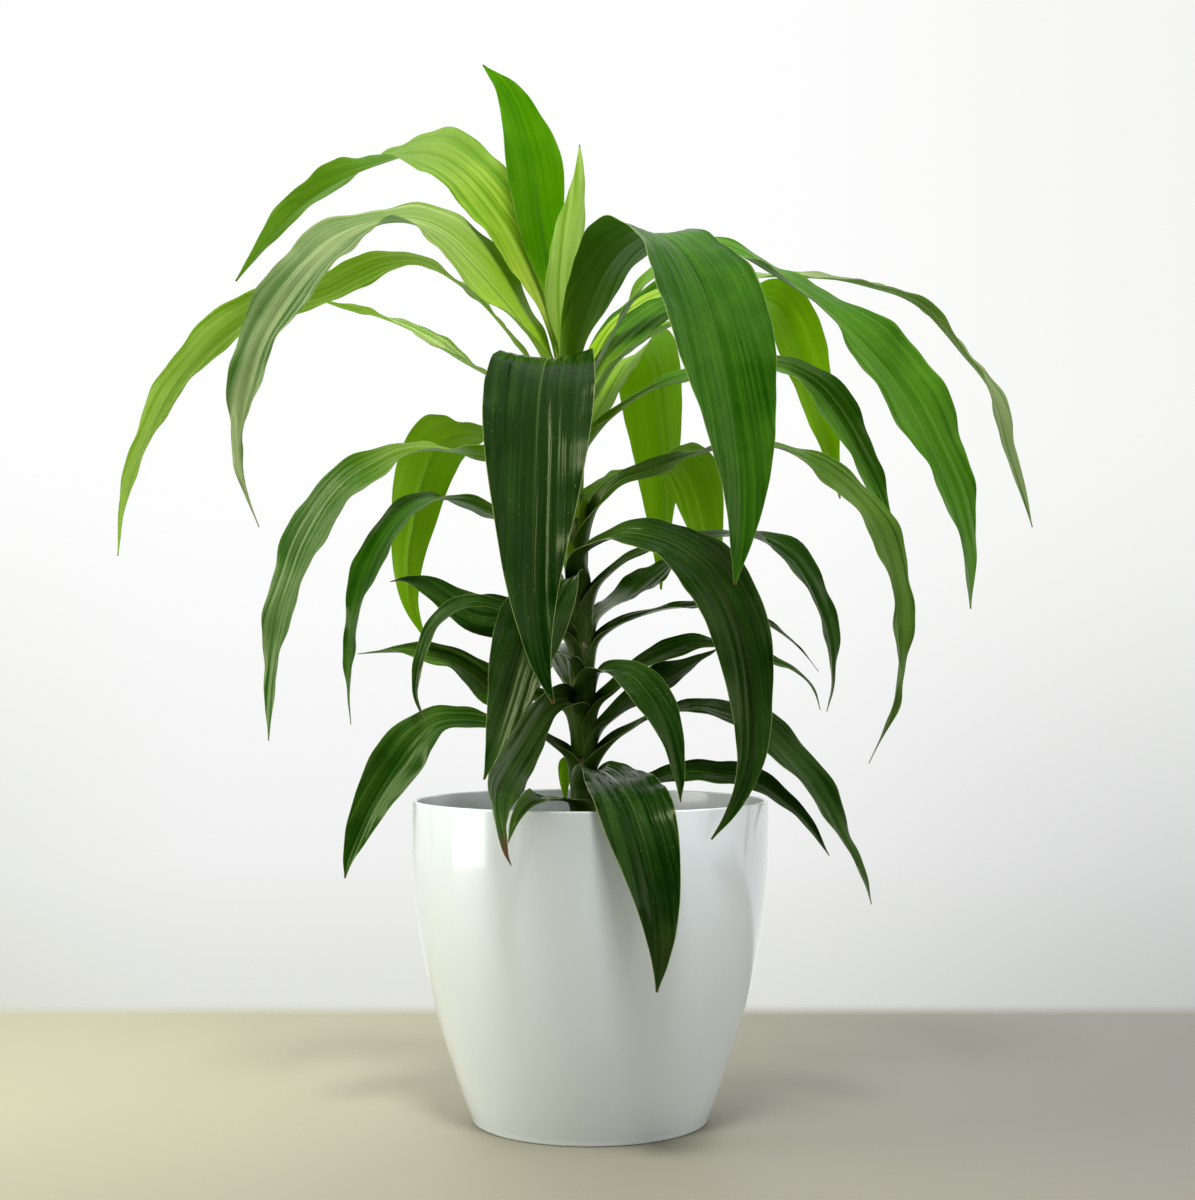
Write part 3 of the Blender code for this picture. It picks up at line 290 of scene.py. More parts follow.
def smoothstep(low: float, high: float, value: Any) -> Any:
    """Ease from 0 at low to 1 at high.

    Args:
        low: Value at which the result leaves 0.
        high: Value at which the result reaches 1.
        value: A number or an array.

    Returns:
        The eased share, of the same kind as value.
    """
    share = np.clip((value - low) / (high - low), 0.0, 1.0)
    return share * share * (3.0 - 2.0 * share)


def linear(red: int, green: int, blue: int) -> Colour:
    """Turn a display colour of 0 to 255 a channel into linear light.

    Args:
        red: Red channel.
        green: Green channel.
        blue: Blue channel.

    Returns:
        The linear colour.
    """
    shares = (channel / 255.0 for channel in (red, green, blue))
    return tuple(s / 12.92 if s <= 0.04045 else ((s + 0.055) / 1.055) ** 2.4 for s in shares)


def hermite(p1: Any, p2: Any, m1: Any, m2: Any, t: float) -> Any:
    """Value on a cubic that leaves p1 with slope m1 and reaches p2 with slope m2.

    Args:
        p1: Value at 0.
        p2: Value at 1.
        m1: Slope at 0.
        m2: Slope at 1.
        t: Share of the way.

    Returns:
        The value at t.
    """
    t2, t3 = t * t, t * t * t
    return (2 * t3 - 3 * t2 + 1) * p1 + (t3 - 2 * t2 + t) * m1 + (3 * t2 - 2 * t3) * p2 + (t3 - t2) * m2


class Wire:
    """A node's output that takes part in Python arithmetic."""

    def __init__(self, graph: "Graph", output: bpy.types.NodeSocket) -> None:
        """Keep the graph and the output."""
        self.graph = graph
        self.output = output

    def maths(self, operation: str, *others: Any) -> "Wire":
        """Result of a Math node whose first input is this output."""
        return self.graph.maths(operation, self, *others)

    def __add__(self, other: Any) -> "Wire":
        """Sum."""
        return self.maths("ADD", other)

    __radd__ = __add__

    def __mul__(self, other: Any) -> "Wire":
        """Product."""
        return self.maths("MULTIPLY", other)

    __rmul__ = __mul__

    def __sub__(self, other: Any) -> "Wire":
        """Difference."""
        return self.maths("SUBTRACT", other)

    def __rsub__(self, other: Any) -> "Wire":
        """Difference from a number."""
        return self.graph.maths("SUBTRACT", other, self)

    def __abs__(self) -> "Wire":
        """Size without its sign."""
        return self.maths("ABSOLUTE")


class Graph:
    """A node tree that is written as expressions."""

    def __init__(self, tree: bpy.types.NodeTree) -> None:
        """Start with an empty tree."""
        self.tree = tree
        tree.nodes.clear()

    def node(self, kind: str, settings: dict | None = None, inputs: dict | None = None,
             output: int | str = 0) -> Wire | None:
        """Add one node, set it up and connect it.

        Args:
            kind: The node's type name.
            settings: Values of the node's own properties; stops gives a ramp's positions and colours.
            inputs: Values or wires for its sockets, by name or index.
            output: The output that is returned, by name or index.

        Returns:
            The chosen output, or None for a node without outputs.
        """
        made = self.tree.nodes.new(kind)
        for key, value in (settings or {}).items():
            if key == "stops":
                self.set_stops(made, value)
            else:
                setattr(made, key, value)
        for key, value in (inputs or {}).items():
            self.connect(made.inputs[key], value)
        return Wire(self, made.outputs[output]) if made.outputs else None

    def set_stops(self, ramp: bpy.types.Node, stops: Sequence[tuple[float, Colour]]) -> None:
        """Give a colour ramp its stops.

        Args:
            ramp: The ramp node.
            stops: Positions and colours, in order.
        """
        elements = ramp.color_ramp.elements
        while len(elements) < len(stops):
            elements.new(1.0)
        for element, (position, colour) in zip(elements, stops):
            element.position = position
            element.color = (*colour, 1.0)

    def connect(self, socket: bpy.types.NodeSocket, value: Any) -> None:
        """Link a wire to a socket, or set the socket's value.

        Args:
            socket: The input socket.
            value: A wire, a number or a tuple.
        """
        if isinstance(value, Wire):
            self.tree.links.new(value.output, socket)
        elif socket.type == "RGBA" and len(value) == 3:
            socket.default_value = (*value, 1.0)
        else:
            socket.default_value = value

    def maths(self, operation: str, *values: Any) -> Wire:
        """Result of a Math node on numbers or wires."""
        return self.node("ShaderNodeMath", {"operation": operation}, dict(enumerate(values)))

    def vector_maths(self, operation: str, inputs: dict, output: int | str = 0) -> Wire:
        """Result of a Vector Math node."""
        return self.node("ShaderNodeVectorMath", {"operation": operation}, inputs, output)

    def blend(self, first: Any, second: Any, share: Any) -> Wire:
        """Mix of two colours: the first at share 0, the second at share 1."""
        settings = {"data_type": "RGBA", "blend_type": "MIX"}
        return self.node("ShaderNodeMix", settings, {0: share, 6: first, 7: second}, 2)

    def step(self, value: Any, low: float, high: float) -> Wire:
        """Ease from 0 where the value is low to 1 where it is high."""
        settings = {"interpolation_type": "SMOOTHSTEP"}
        return self.node("ShaderNodeMapRange", settings, {0: value, 1: low, 2: high})

    def split(self, vector: Wire) -> tuple[Wire, ...]:
        """Three values of a vector."""
        first = self.node("ShaderNodeSeparateXYZ", inputs={0: vector})
        return tuple(Wire(self, socket) for socket in first.output.node.outputs)

    def attribute(self, name: str) -> tuple[Wire, ...]:
        """Three values of a vector attribute of the piece."""
        return self.split(self.node("ShaderNodeAttribute", {"attribute_name": name}, output="Vector"))

    def vector(self, x: Any, y: Any, z: Any) -> Wire:
        """Three values joined into a vector."""
        return self.node("ShaderNodeCombineXYZ", inputs={0: x, 1: y, 2: z})

    def noise(self, place: Wire, scale: float, detail: float = 2.0, roughness: float = 0.5) -> Wire:
        """Cloud noise between about 0 and 1, with scale in cells a unit of place."""
        inputs = {"Vector": place, "Scale": scale, "Detail": detail, "Roughness": roughness}
        return self.node("ShaderNodeTexNoise", inputs=inputs)

    def bump(self, height: Wire, depth: float, strength: float) -> Wire:
        """Normal of a relief whose height is about 0 to 1 and whose real depth is in metres."""
        inputs = {"Strength": strength, "Distance": depth, "Height": height}
        return self.node("ShaderNodeBump", inputs=inputs)

    def object_place(self) -> Wire:
        """Object coordinates of the piece, in metres."""
        return self.node("ShaderNodeTexCoord", output="Object")

    def principled(self, inputs: dict) -> Wire:
        """Principled BSDF with these socket values."""
        return self.node("ShaderNodeBsdfPrincipled", inputs=inputs)

    def finish(self, shader: Wire) -> None:
        """Send a shader to the output of the material or the world."""
        world = isinstance(self.tree.id_data, bpy.types.World)
        self.node("ShaderNodeOutputWorld" if world else "ShaderNodeOutputMaterial", inputs={"Surface": shader})


def new_material(name: str) -> tuple[bpy.types.Material, Graph]:
    """Make an empty node material.

    Args:
        name: The material's name.

    Returns:
        The material and its graph.
    """
    material = bpy.data.materials.new(name)
    material.use_nodes = True
    return material, Graph(material.node_tree)


@dataclass(frozen=True)
class BladeFinish:
    """Skin of a leaf: lengthwise streaks, partly its own tone and partly painted sheen and shade along its
    ribs, fine veins, a pale margin and light that shines through.

    Scales are in cells a millimetre across the blade. Drawn out along it, they make long streaks.
    """

    name: str
    deep: Colour
    light: Colour
    foot: Colour
    under: Colour
    glow: Colour
    margin: Colour = linear(160, 180, 96)
    midrib: Colour = linear(120, 150, 70)
    dry: Colour = linear(96, 62, 34)
    through: float = 0.30
    roughness: float = 0.36
    midrib_share: float = 0.35
    streak: float = 1.0
    # The default far colour is a silvery green that paints sheen streaks towards the tip of the young blades.
    far: Colour = linear(112, 138, 76)
    seam: Colour = linear(24, 66, 6)
    far_share: float = 0.0
    line_depth: float = 0.35
    foot_reach: float = 0.34
    gloss: float = 0.45
    sheen: Colour = (0.8, 1.0, 0.42)
    drawn_out: float = 0.009
    broad_scale: float = 0.15
    vein_scale: float = 0.52
    hair_scale: float = 0.95
    cloud_scale: float = 0.03
    speck_scale: float = 0.8
    speck_share: float = 0.22
    relief_depth: float = 0.0006

    def build(self) -> bpy.types.Material:
        """Make the material.

        Returns:
            The finished material.
        """
        material, graph = new_material(self.name)
        across, along, margin = graph.attribute("place")
        share, under, _ = graph.attribute("form")
        dryness, offset, tone_and_shade_shift = graph.attribute("state")
        drawn = graph.vector(across, along * self.drawn_out, offset)
        broad = graph.noise(drawn, self.broad_scale)
        vein = graph.noise(drawn, self.vein_scale, roughness=0.55)
        hair = graph.noise(drawn, self.hair_scale, 1.0)
        cloud = graph.noise(graph.vector(across, along, offset), self.cloud_scale, 3.0)
        speck = graph.noise(graph.vector(across, along * 0.5, offset), self.speck_scale, 1.0)
        lines = graph.step(vein * 0.75 + hair * 0.25, 0.36, 0.64)
        # Lengthwise light and dark streaks: partly the leaf's own tone, partly painted sheen and shade along
        # the ribs.
        tone = 0.42 + (broad - 0.5) * 1.1 * self.streak + (lines - 0.5) * 0.45 * self.streak
        # Each leaf's shift of tone is added here; on the leaves in front it also paints shade.
        tone = (tone + (cloud - 0.5) * 0.9 + tone_and_shade_shift).maths("MAXIMUM", 0.0).maths("MINIMUM", 1.2)
        colour = graph.blend(self.deep, self.light, tone)
        # Towards the tip the colour blends to the far colour. On the young blades this paints silvery sheen
        # streaks, and on the silvery sheen blades it makes the outer part darker.
        far_sheen_and_tone = graph.step(share, 0.26, 0.6) * (0.6 + lines * 0.4)
        colour = graph.blend(colour, self.far, far_sheen_and_tone * self.far_share)
        dark = 1.0 - graph.step(vein * 0.7 + hair * 0.3, 0.33, 0.44)
        colour = graph.blend(colour, self.seam, dark * self.line_depth * graph.step(share, 0.05, 0.3))
        colour = graph.blend(self.foot, colour, graph.step(share, 0.02, self.foot_reach))
        # Midrib stripe: its own colour, and on the young and silvery sheen blades a dark one that also paints
        # the shade in the groove.
        middle = 1.0 - graph.step(abs(across), 0.2, 0.95)
        colour = graph.blend(colour, self.midrib, middle * self.midrib_share * (1.0 - share))
        colour = graph.blend(colour, self.under, under * 0.6)
        colour = graph.blend(colour, self.margin, graph.step(speck, 0.72, 0.78) * self.speck_share)
        edge = 1.0 - graph.step(margin, 0.08, 0.38)
        colour = graph.blend(colour, self.margin, edge * 0.5)
        colour = graph.blend(colour, self.dry, dryness)
        patchy = self.roughness + (cloud - 0.5) * 0.25 + (lines - 0.5) * 0.16
        skin = graph.principled({
            "Base Color": colour,
            "Roughness": patchy + under * 0.14 + dryness * 0.3,
            "IOR": 1.45,
            "Specular IOR Level": self.gloss,
            "Specular Tint": self.sheen,
            "Normal": graph.bump(vein * 0.65, self.relief_depth, 0.85),
        })
        shining = graph.node("ShaderNodeBsdfTranslucent", inputs={"Color": self.glow})
        graph.finish(graph.node("ShaderNodeMixShader", inputs={0: self.through, 1: skin, 2: shining}))
        return material


BLADE_FINISHES = {
    Growth.SPEAR: BladeFinish(
        "blade_spear", linear(48, 108, 0), linear(98, 152, 2), linear(150, 188, 30), linear(74, 134, 1),
        glow=linear(132, 186, 0), through=0.42, roughness=0.38, streak=0.6, gloss=0.3),
    # The young blades' light streak colour is partly painted sheen streaks.
    Growth.YOUNG: BladeFinish(
        "blade_young", linear(102, 146, 2), linear(186, 208, 68), linear(206, 214, 84), linear(84, 130, 18),
        glow=linear(168, 208, 2), through=0.42, roughness=0.34, midrib=linear(58, 92, 8), midrib_share=0.85,
        far_share=0.85, line_depth=0.6, streak=1.4, gloss=0.42),
    # The pale blades' whitish light streak colour is partly their own paleness and partly painted sheen.
    Growth.PALE: BladeFinish(
        "blade_pale", linear(84, 138, 6), linear(222, 230, 150), linear(176, 204, 36), linear(126, 170, 24),
        glow=linear(180, 216, 40), through=0.40, roughness=0.34, streak=2.1, seam=linear(58, 108, 16),
        line_depth=0.75),
    # Painted backlight: brighter, yellower colours for the back leaves, standing in for light from behind.
    Growth.PAINTED_BACKLIGHT: BladeFinish(
        "blade_painted_backlight", linear(84, 130, 2), linear(152, 188, 36), linear(108, 140, 16), linear(108, 148, 6),
        glow=linear(164, 204, 2), through=0.48, roughness=0.36, streak=1.4, line_depth=0.6, gloss=0.4),
    # Painted sheen: a whitish grey light streak colour for leaves whose upper faces catch a sheen, with a
    # darker outer part.
    Growth.PAINTED_SHEEN: BladeFinish(
        "blade_painted_sheen", linear(34, 84, 8), linear(160, 172, 120), linear(158, 196, 24), linear(116, 164, 26),
        glow=linear(140, 190, 10), through=0.28, roughness=0.26, streak=1.1, line_depth=0.95,
        foot_reach=0.55, midrib=linear(66, 100, 18), midrib_share=0.8, far=linear(60, 90, 42),
        far_share=0.3, gloss=0.55),
    Growth.OLIVE: BladeFinish(
        "blade_olive", linear(24, 66, 2), linear(92, 126, 44), linear(34, 62, 6), linear(56, 92, 16),
        glow=linear(80, 124, 8), through=0.18, roughness=0.27, streak=0.9, seam=linear(14, 42, 2),
        line_depth=0.6, gloss=0.48),
    Growth.MIDDLE: BladeFinish(
        "blade_middle", linear(12, 64, 0), linear(86, 138, 30), linear(124, 164, 16), linear(76, 124, 20),
        glow=linear(100, 160, 2), through=0.24, roughness=0.23, streak=0.65, line_depth=0.5, gloss=0.52),
    Growth.MATURE: BladeFinish(
        "blade_mature", linear(6, 38, 0), linear(54, 88, 28), linear(56, 82, 26), linear(58, 88, 30),
        glow=linear(44, 104, 0), through=0.14, roughness=0.20, streak=0.8, seam=linear(6, 32, 0),
        line_depth=0.45, gloss=0.55),
}


@dataclass(frozen=True)
class GlazeFinish:
    """Smooth white gloss of the planter, with the faintest unevenness."""

    name: str = "planter_gloss"
    body: Colour = linear(232, 239, 241)
    shade: Colour = linear(224, 232, 234)

    def build(self) -> bpy.types.Material:
        """Make the material.

        Returns:
            The finished material.
        """
        material, graph = new_material(self.name)
        place = graph.object_place()
        cloud = graph.noise(place, 9.0, 3.0)
        fine = graph.noise(place, 260.0, 2.0)
        ripple = graph.noise(place, 14.0, 1.0)
        skin = graph.principled({
            "Base Color": graph.blend(self.body, self.shade, cloud),
            "Roughness": 0.13 + (cloud - 0.5) * 0.05,
            "IOR": 1.5,
            "Specular IOR Level": 0.5,
            "Coat Weight": 0.2,
            "Coat Roughness": 0.04,
            "Normal": graph.bump(ripple * 0.9 + fine * 0.02, 0.0004, 0.35),
        })
        graph.finish(skin)
        return material


@dataclass(frozen=True)
class BarkFinish:
    """Ringed bark: brown at the foot, green higher up, with pale flecks and dark creases."""

    name: str = "ringed_bark"
    brown: Colour = linear(98, 90, 58)
    grey: Colour = linear(146, 140, 104)
    green: Colour = linear(88, 112, 44)
    fleck: Colour = linear(214, 214, 190)
    crease: Colour = linear(40, 36, 22)
    green_from: float = 0.235
    green_full: float = 0.330

    def build(self) -> bpy.types.Material:
        """Make the material.

        Returns:
            The finished material.
        """
        material, graph = new_material(self.name)
        place = graph.object_place()
        _, _, height = graph.split(place)
        ring, _, _ = graph.attribute("form")
        cloud = graph.noise(place, 90.0, 4.0)
        fine = graph.noise(place, 420.0, 3.0, 0.65)
        colour = graph.blend(self.brown, self.grey, graph.step(cloud, 0.35, 0.75))
        fresh = graph.step(height, self.green_from, self.green_full) * 0.85
        colour = graph.blend(colour, self.green, fresh)
        flecked = graph.step(fine, 0.56, 0.66) * graph.step(cloud, 0.42, 0.56)
        colour = graph.blend(colour, self.fleck, flecked)
        colour = graph.blend(colour, self.crease, graph.step(ring, 0.45, 0.95) * 0.8)
        skin = graph.principled({
            "Base Color": colour,
            "Roughness": 0.62 + (fine - 0.5) * 0.3,
            "Normal": graph.bump(fine * 0.6 + cloud, 0.0007, 0.9),
        })
        graph.finish(skin)
        return material


@dataclass(frozen=True)
class EarthFinish:
    """Matte crumbly stuff: soil, chips of bark or pale grains."""

    name: str
    dark: Colour
    light: Colour
    roughness: float = 0.95

    def build(self) -> bpy.types.Material:
        """Make the material.

        Returns:
            The finished material.
        """
        material, graph = new_material(self.name)
        place = graph.object_place()
        cloud = graph.noise(place, 160.0, 4.0, 0.6)
        grain = graph.noise(place, 900.0, 3.0, 0.7)
        mixed = graph.step(cloud * 0.6 + grain * 0.4, 0.32, 0.68)
        skin = graph.principled({
            "Base Color": graph.blend(self.dark, self.light, mixed),
            "Roughness": self.roughness,
            "Normal": graph.bump(grain + cloud, 0.0010, 0.9),
        })
        graph.finish(skin)
        return material


SOIL_FINISH = EarthFinish("potting_soil", linear(26, 19, 14), linear(66, 50, 38))
CHIP_FINISH = EarthFinish("bark_chip", linear(64, 42, 26), linear(120, 86, 56), 0.85)
GRAIN_FINISH = EarthFinish("pale_grain", linear(190, 186, 176), linear(228, 226, 218), 0.8)


def dress(piece: bpy.types.Object, nodes: Sequence[str] = ()) -> None:
    """Report a finished piece to the frame.

    Args:
        piece: The finished object.
        nodes: The frame nodes that it stands for.
    """
    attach(piece, BODY)
    if nodes:
        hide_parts(*nodes)
    log.info("%s: %d faces", piece.name, len(piece.data.polygons))


def mesh_object(name: str, points: np.ndarray, faces: Sequence[tuple], material: bpy.types.Material,
                sharp_deg: float = SMOOTH_BELOW_DEG) -> bpy.types.Object:
    """Make a smoothly shaded object from points in mm.

    Args:
        name: The object's name.
        points: Vertex places in mm.
        faces: Vertex indices of each face.
        material: Its material.
        sharp_deg: Edges bent by more than this stay sharp.

    Returns:
        The new object.
    """
    mesh = bpy.data.meshes.new(name)
    mesh.from_pydata((points * MM).tolist(), [], faces)
    mesh.shade_smooth()
    mesh.set_sharp_from_angle(angle=math.radians(sharp_deg))
    mesh.materials.append(material)
    made = bpy.data.objects.new(name, mesh)
    bpy.context.scene.collection.objects.link(made)
    return made


def baked(source: bpy.types.Object, name: str, material: bpy.types.Material) -> bpy.types.Object:
    """Turn an object with live modifiers into a plain mesh object, and remove the source.

    Args:
        source: The object with its modifiers.
        name: Name of the plain object.
        material: Its material.

    Returns:
        The plain object.
    """
    depsgraph = bpy.context.evaluated_depsgraph_get()
    mesh = bpy.data.meshes.new_from_object(source.evaluated_get(depsgraph))
    mesh.name = name
    mesh.materials.clear()
    mesh.materials.append(material)
    bpy.data.objects.remove(source, do_unlink=True)
    made = bpy.data.objects.new(name, mesh)
    bpy.context.scene.collection.objects.link(made)
    return made


def add_vectors(mesh: bpy.types.Mesh, name: str, *values: np.ndarray) -> None:
    """Store a vector attribute, one vector a vertex, from its three components."""
    layer = mesh.attributes.new(name, "FLOAT_VECTOR", "POINT")
    layer.data.foreach_set("vector", np.stack(values, axis=-1).astype(np.float32).ravel())


def ring_faces(rows: int, columns: int, capped: bool = True) -> list[tuple]:
    """Faces between rings of points, each ring closed on itself.

    Args:
        rows: How many rings there are.
        columns: Points in each ring.
        capped: Whether a face closes the first and the last ring.

    Returns:
        Vertex indices of each face.
    """
    faces = []
    for row in range(rows - 1):
        for column in range(columns):
            after = (column + 1) % columns
            first, second = row * columns, (row + 1) * columns
            faces.append((first + column, first + after, second + after, second + column))
    if capped:
        faces.append(tuple(range(columns - 1, -1, -1)))
        faces.append(tuple((rows - 1) * columns + column for column in range(columns)))
    return faces


@dataclass
class Stem:
    """The upright cane, standing in the soil and leaning a little towards its crown."""

    foot: float = 110.3
    tip: float = 476.0
    soil_top: float = 170.0
    foot_across: float = -4.5
    lean: float = -10.5
    lean_start: float = 230.0
    lean_end: float = 490.0
    radius_heights: tuple = (100.0, 170.0, 250.0, 330.0, 400.0, 440.0, 465.0, 476.0)
    radii: tuple = (6.9, 6.9, 6.3, 6.5, 6.2, 4.9, 3.2, 2.4)
    segments: int = 72
    ring_step: float = 1.0
    scar_spacing: float = 6.4
    scar_depth: float = 0.30
    scar_width: float = 0.055
    scar_slant: float = 1.5
    shoulder_width: float = 0.12
    shoulder_height: float = 0.10
    sunk: float = 0.12

    def centre(self, height: Any) -> np.ndarray:
        """Centre of the stem.

        Args:
            height: A height or an array of heights.

        Returns:
            Across and depth, in the last axis.
        """
        across = self.foot_across + self.lean * smoothstep(self.lean_start, self.lean_end, height)
        return np.stack([across, np.zeros_like(across)], axis=-1)

    def radius(self, height: Any) -> Any:
        """Radius of the bare stem at a height or heights."""
        return np.interp(height, self.radius_heights, self.radii)

    def relief(self, height: np.ndarray, angle: np.ndarray) -> tuple[np.ndarray, np.ndarray]:
        """Relief of the bark: slanting scars of fallen leaves, creases and lumps.

        Args:
            height: Heights in mm.
            angle: Angles about the stem.

        Returns:
            Offset from the plain radius, and how much each point lies in a crease.
        """
        slant = self.scar_slant * np.sin(angle + 0.35 * height / self.scar_spacing)
        turn = (height + slant + 0.9 * np.sin(height * 0.21)) / self.scar_spacing
        phase = turn - np.floor(turn)
        crease = np.exp(-((phase - 0.5) / self.scar_width) ** 2)
        shoulder = np.exp(-((phase - 0.36) / self.shoulder_width) ** 2)
        lumps = np.sin(3.0 * angle + height * 0.4) * 0.07 + np.sin(7.0 * angle - height * 0.9) * 0.05
        wrinkle = np.sin(17.0 * angle + 1.7 * np.sin(height * 0.8)) * 0.035
        buried = smoothstep(self.soil_top - 4.0, self.soil_top + 2.0, height)
        rings = shoulder * self.shoulder_height - crease * self.scar_depth
        return buried * (rings + lumps + wrinkle - self.sunk), crease * buried

    def build(self, finish: BarkFinish) -> None:
        """Make the stem and stand it in for the frame's.

        Args:
            finish: Its bark.
        """
        heights = np.arange(self.foot, self.tip + self.ring_step, self.ring_step)
        angles = np.arange(self.segments) * FULL_TURN / self.segments
        level, angle = np.meshgrid(heights, angles, indexing="ij")
        offset, crease = self.relief(level, angle)
        radius = self.radius(level) + offset
        centre = self.centre(level)
        across = centre[..., 0] + radius * np.cos(angle)
        depth = centre[..., 1] + radius * np.sin(angle)
        points = np.stack([across, depth, level], axis=-1)
        piece = mesh_object("cane", points.reshape(-1, 3), ring_faces(*level.shape), finish.build())
        add_vectors(piece.data, "form", crease, np.zeros_like(crease), np.zeros_like(crease))
        dress(piece, ["stem"])


@dataclass
class Foliage:
    """All the leaves, drawn from the leaf table."""

    stem: Stem
    eye: tuple = EYE
    sheath_gap: float = 0.5
    half_thickness: float = 0.45
    sheath_length: float = 6.0
    sheath_width: float = 14.0
    sheath_wrap: float = 1.75
    sheath_flare: float = 0.55
    sheath_drop: float = 9.0
    sheath_spread: float = 0.07
    clasp_wrap: float = 2.0
    clasp_end: float = 52.0
    cup_start: float = 14.0
    blade_start: float = 30.0
    cup_curvature: float = 0.008
    cup_end: float = 74.0
    fold_slope: float = 0.10
    hang_slope: float = 0.26
    wave_length: float = 54.0
    wave_start: float = 30.0
    wave_full: float = 80.0
    wave_fade: float = 0.82
    wave_turn: float = 0.9
    edge_shift: float = 2.4
    tip_width: float = 0.5
    path_steps: int = 14
    row_step: float = 3.0
    row_bias: float = 1.04
    foot_step: float = 1.8
    least_rows: int = 12
    column_step: float = 1.05
    column_bias: float = 0.92
    columns_allowed: tuple = (14, 58)
    pleat_spacing: float = 12.5
    pleat_depth: float = 1.1
    pleat_drift: float = 0.5
    crease_spacing: float = 4.1
    crease_depth: float = 0.17
    ripple_length: float = 21.0
    ripple_depth: float = 0.45
    midrib_depth: float = 0.45
    middle_thickness: float = 0.80
    margin_thickness: float = 0.34
    streak_offset: float = 7.3
    widest_at: float = 0.45
    width_stops: tuple = (0.0, 0.10, 0.20, 0.30, 0.40, 0.45, 0.55, 0.65, 0.75, 0.85, 0.93, 1.0)
    width_values: tuple = (0.26, 0.42, 0.68, 0.86, 0.98, 1.0, 0.93, 0.77, 0.57, 0.36, 0.18, 0.03)
    materials: dict = field(default_factory=dict)

    def from_drawing(self, across: float, up: float, depth: float) -> np.ndarray:
        """Place a drawn point at its depth, along the line of sight from the viewing point.

        Args:
            across: Where it is drawn, to the right.
            up: Where it is drawn, upwards.
            depth: How far behind the drawing plane it lies.

        Returns:
            Its place in mm.
        """
        eye = np.array(self.eye)
        drawn = np.array((across, 0.0, up))
        return eye + (drawn - eye) * (1.0 + depth / -eye[1])

    def base_radius(self, leaf: Leaf) -> float:
        """Radius to which the clasping base of a leaf is bent."""
        return float(self.stem.radius(leaf.height)) + self.sheath_gap + self.half_thickness

    def base_points(self, leaf: Leaf) -> tuple[list, np.ndarray]:
        """The two points of the clasping base on the stem.

        Args:
            leaf: The leaf.

        Returns:
            The points, and the direction in which the leaf faces away from the stem.
        """
        angle = math.radians(leaf.azimuth)
        outward = np.array((math.cos(angle), math.sin(angle), 0.0))
        points = []
        for rise, flare in ((0.0, 0.0), (self.sheath_length, self.sheath_flare)):
            height = leaf.height + rise
            across, depth = self.stem.centre(np.float64(height))
            points.append(np.array((across, depth, height)) + outward * (self.base_radius(leaf) + flare))
        return points, outward

    def smooth_path(self, points: list, rolls: list) -> tuple[np.ndarray, np.ndarray, np.ndarray]:
        """Centripetal curve through the points.

        Args:
            points: The path's points.
            rolls: Roll at each, in degrees.

        Returns:
            Dense points, rolls and arc lengths.
        """
        knots = [2.0 * points[0] - points[1], *points, 2.0 * points[-1] - points[-2]]
        turns = [rolls[0], *rolls, rolls[-1]]
        dense, dense_rolls = [], []
        for index in range(1, len(knots) - 2):
            p0, p1, p2, p3 = knots[index - 1:index + 3]
            d1, d2, d3 = (math.sqrt(np.linalg.norm(b - a)) for a, b in ((p0, p1), (p1, p2), (p2, p3)))
            m1 = ((p1 - p0) / d1 - (p2 - p0) / (d1 + d2) + (p2 - p1) / d2) * d2
            m2 = ((p2 - p1) / d2 - (p3 - p1) / (d2 + d3) + (p3 - p2) / d3) * d2
            for step in range(self.path_steps):
                t = step / self.path_steps
                dense.append(hermite(p1, p2, m1, m2, t))
                ease = 0.5 * float(smoothstep(0.0, 1.0, t)) + 0.5 * t
                dense_rolls.append(turns[index] + (turns[index + 1] - turns[index]) * ease)
        dense.append(points[-1])
        dense_rolls.append(rolls[-1])
        path = np.array(dense)
        gaps = np.linalg.norm(np.diff(path, axis=0), axis=1)
        return path, np.array(dense_rolls), np.concatenate(([0.0], np.cumsum(gaps)))

    def frames_along(self, path: np.ndarray, rolls: np.ndarray, first: np.ndarray) -> tuple:
        """Across and face directions carried along the path, then rolled.

        Args:
            path: Dense points.
            rolls: Roll at each, in degrees.
            first: Face direction at the base.

        Returns:
            The across directions and the face directions.
        """
        tangents = np.gradient(path, axis=0)
        tangents /= np.linalg.norm(tangents, axis=1)[:, None]
        normal = first
        sides, normals = [], []
        for tangent, roll in zip(tangents, np.radians(rolls)):
            normal = normal - tangent * float(np.dot(normal, tangent))
            normal = normal / np.linalg.norm(normal)
            side = np.cross(normal, tangent)
            sides.append(side * math.cos(roll) + normal * math.sin(roll))
            normals.append(normal * math.cos(roll) - side * math.sin(roll))
        return np.array(sides), np.array(normals)

    def width_share(self, share: float, widest: float) -> float:
        """Width of a leaf as a share of its widest.

        Args:
            share: Share of the leaf's length.
            widest: Share at which the leaf is widest.

        Returns:
            The width, from 0 to 1.
        """
        stops, values = self.width_stops, self.width_values
        warped = share ** (math.log(self.widest_at) / math.log(widest))
        index = int(np.searchsorted(stops, warped, side="right")) - 1
        index = min(max(index, 0), len(stops) - 2)
        low, high = stops[index:index + 2]
        first, second = values[index:index + 2]
        m1 = 0.5 * (second - values[max(index - 1, 0)])
        m2 = 0.5 * (values[min(index + 2, len(values) - 1)] - first)
        return hermite(first, second, m1, m2, (warped - low) / (high - low))

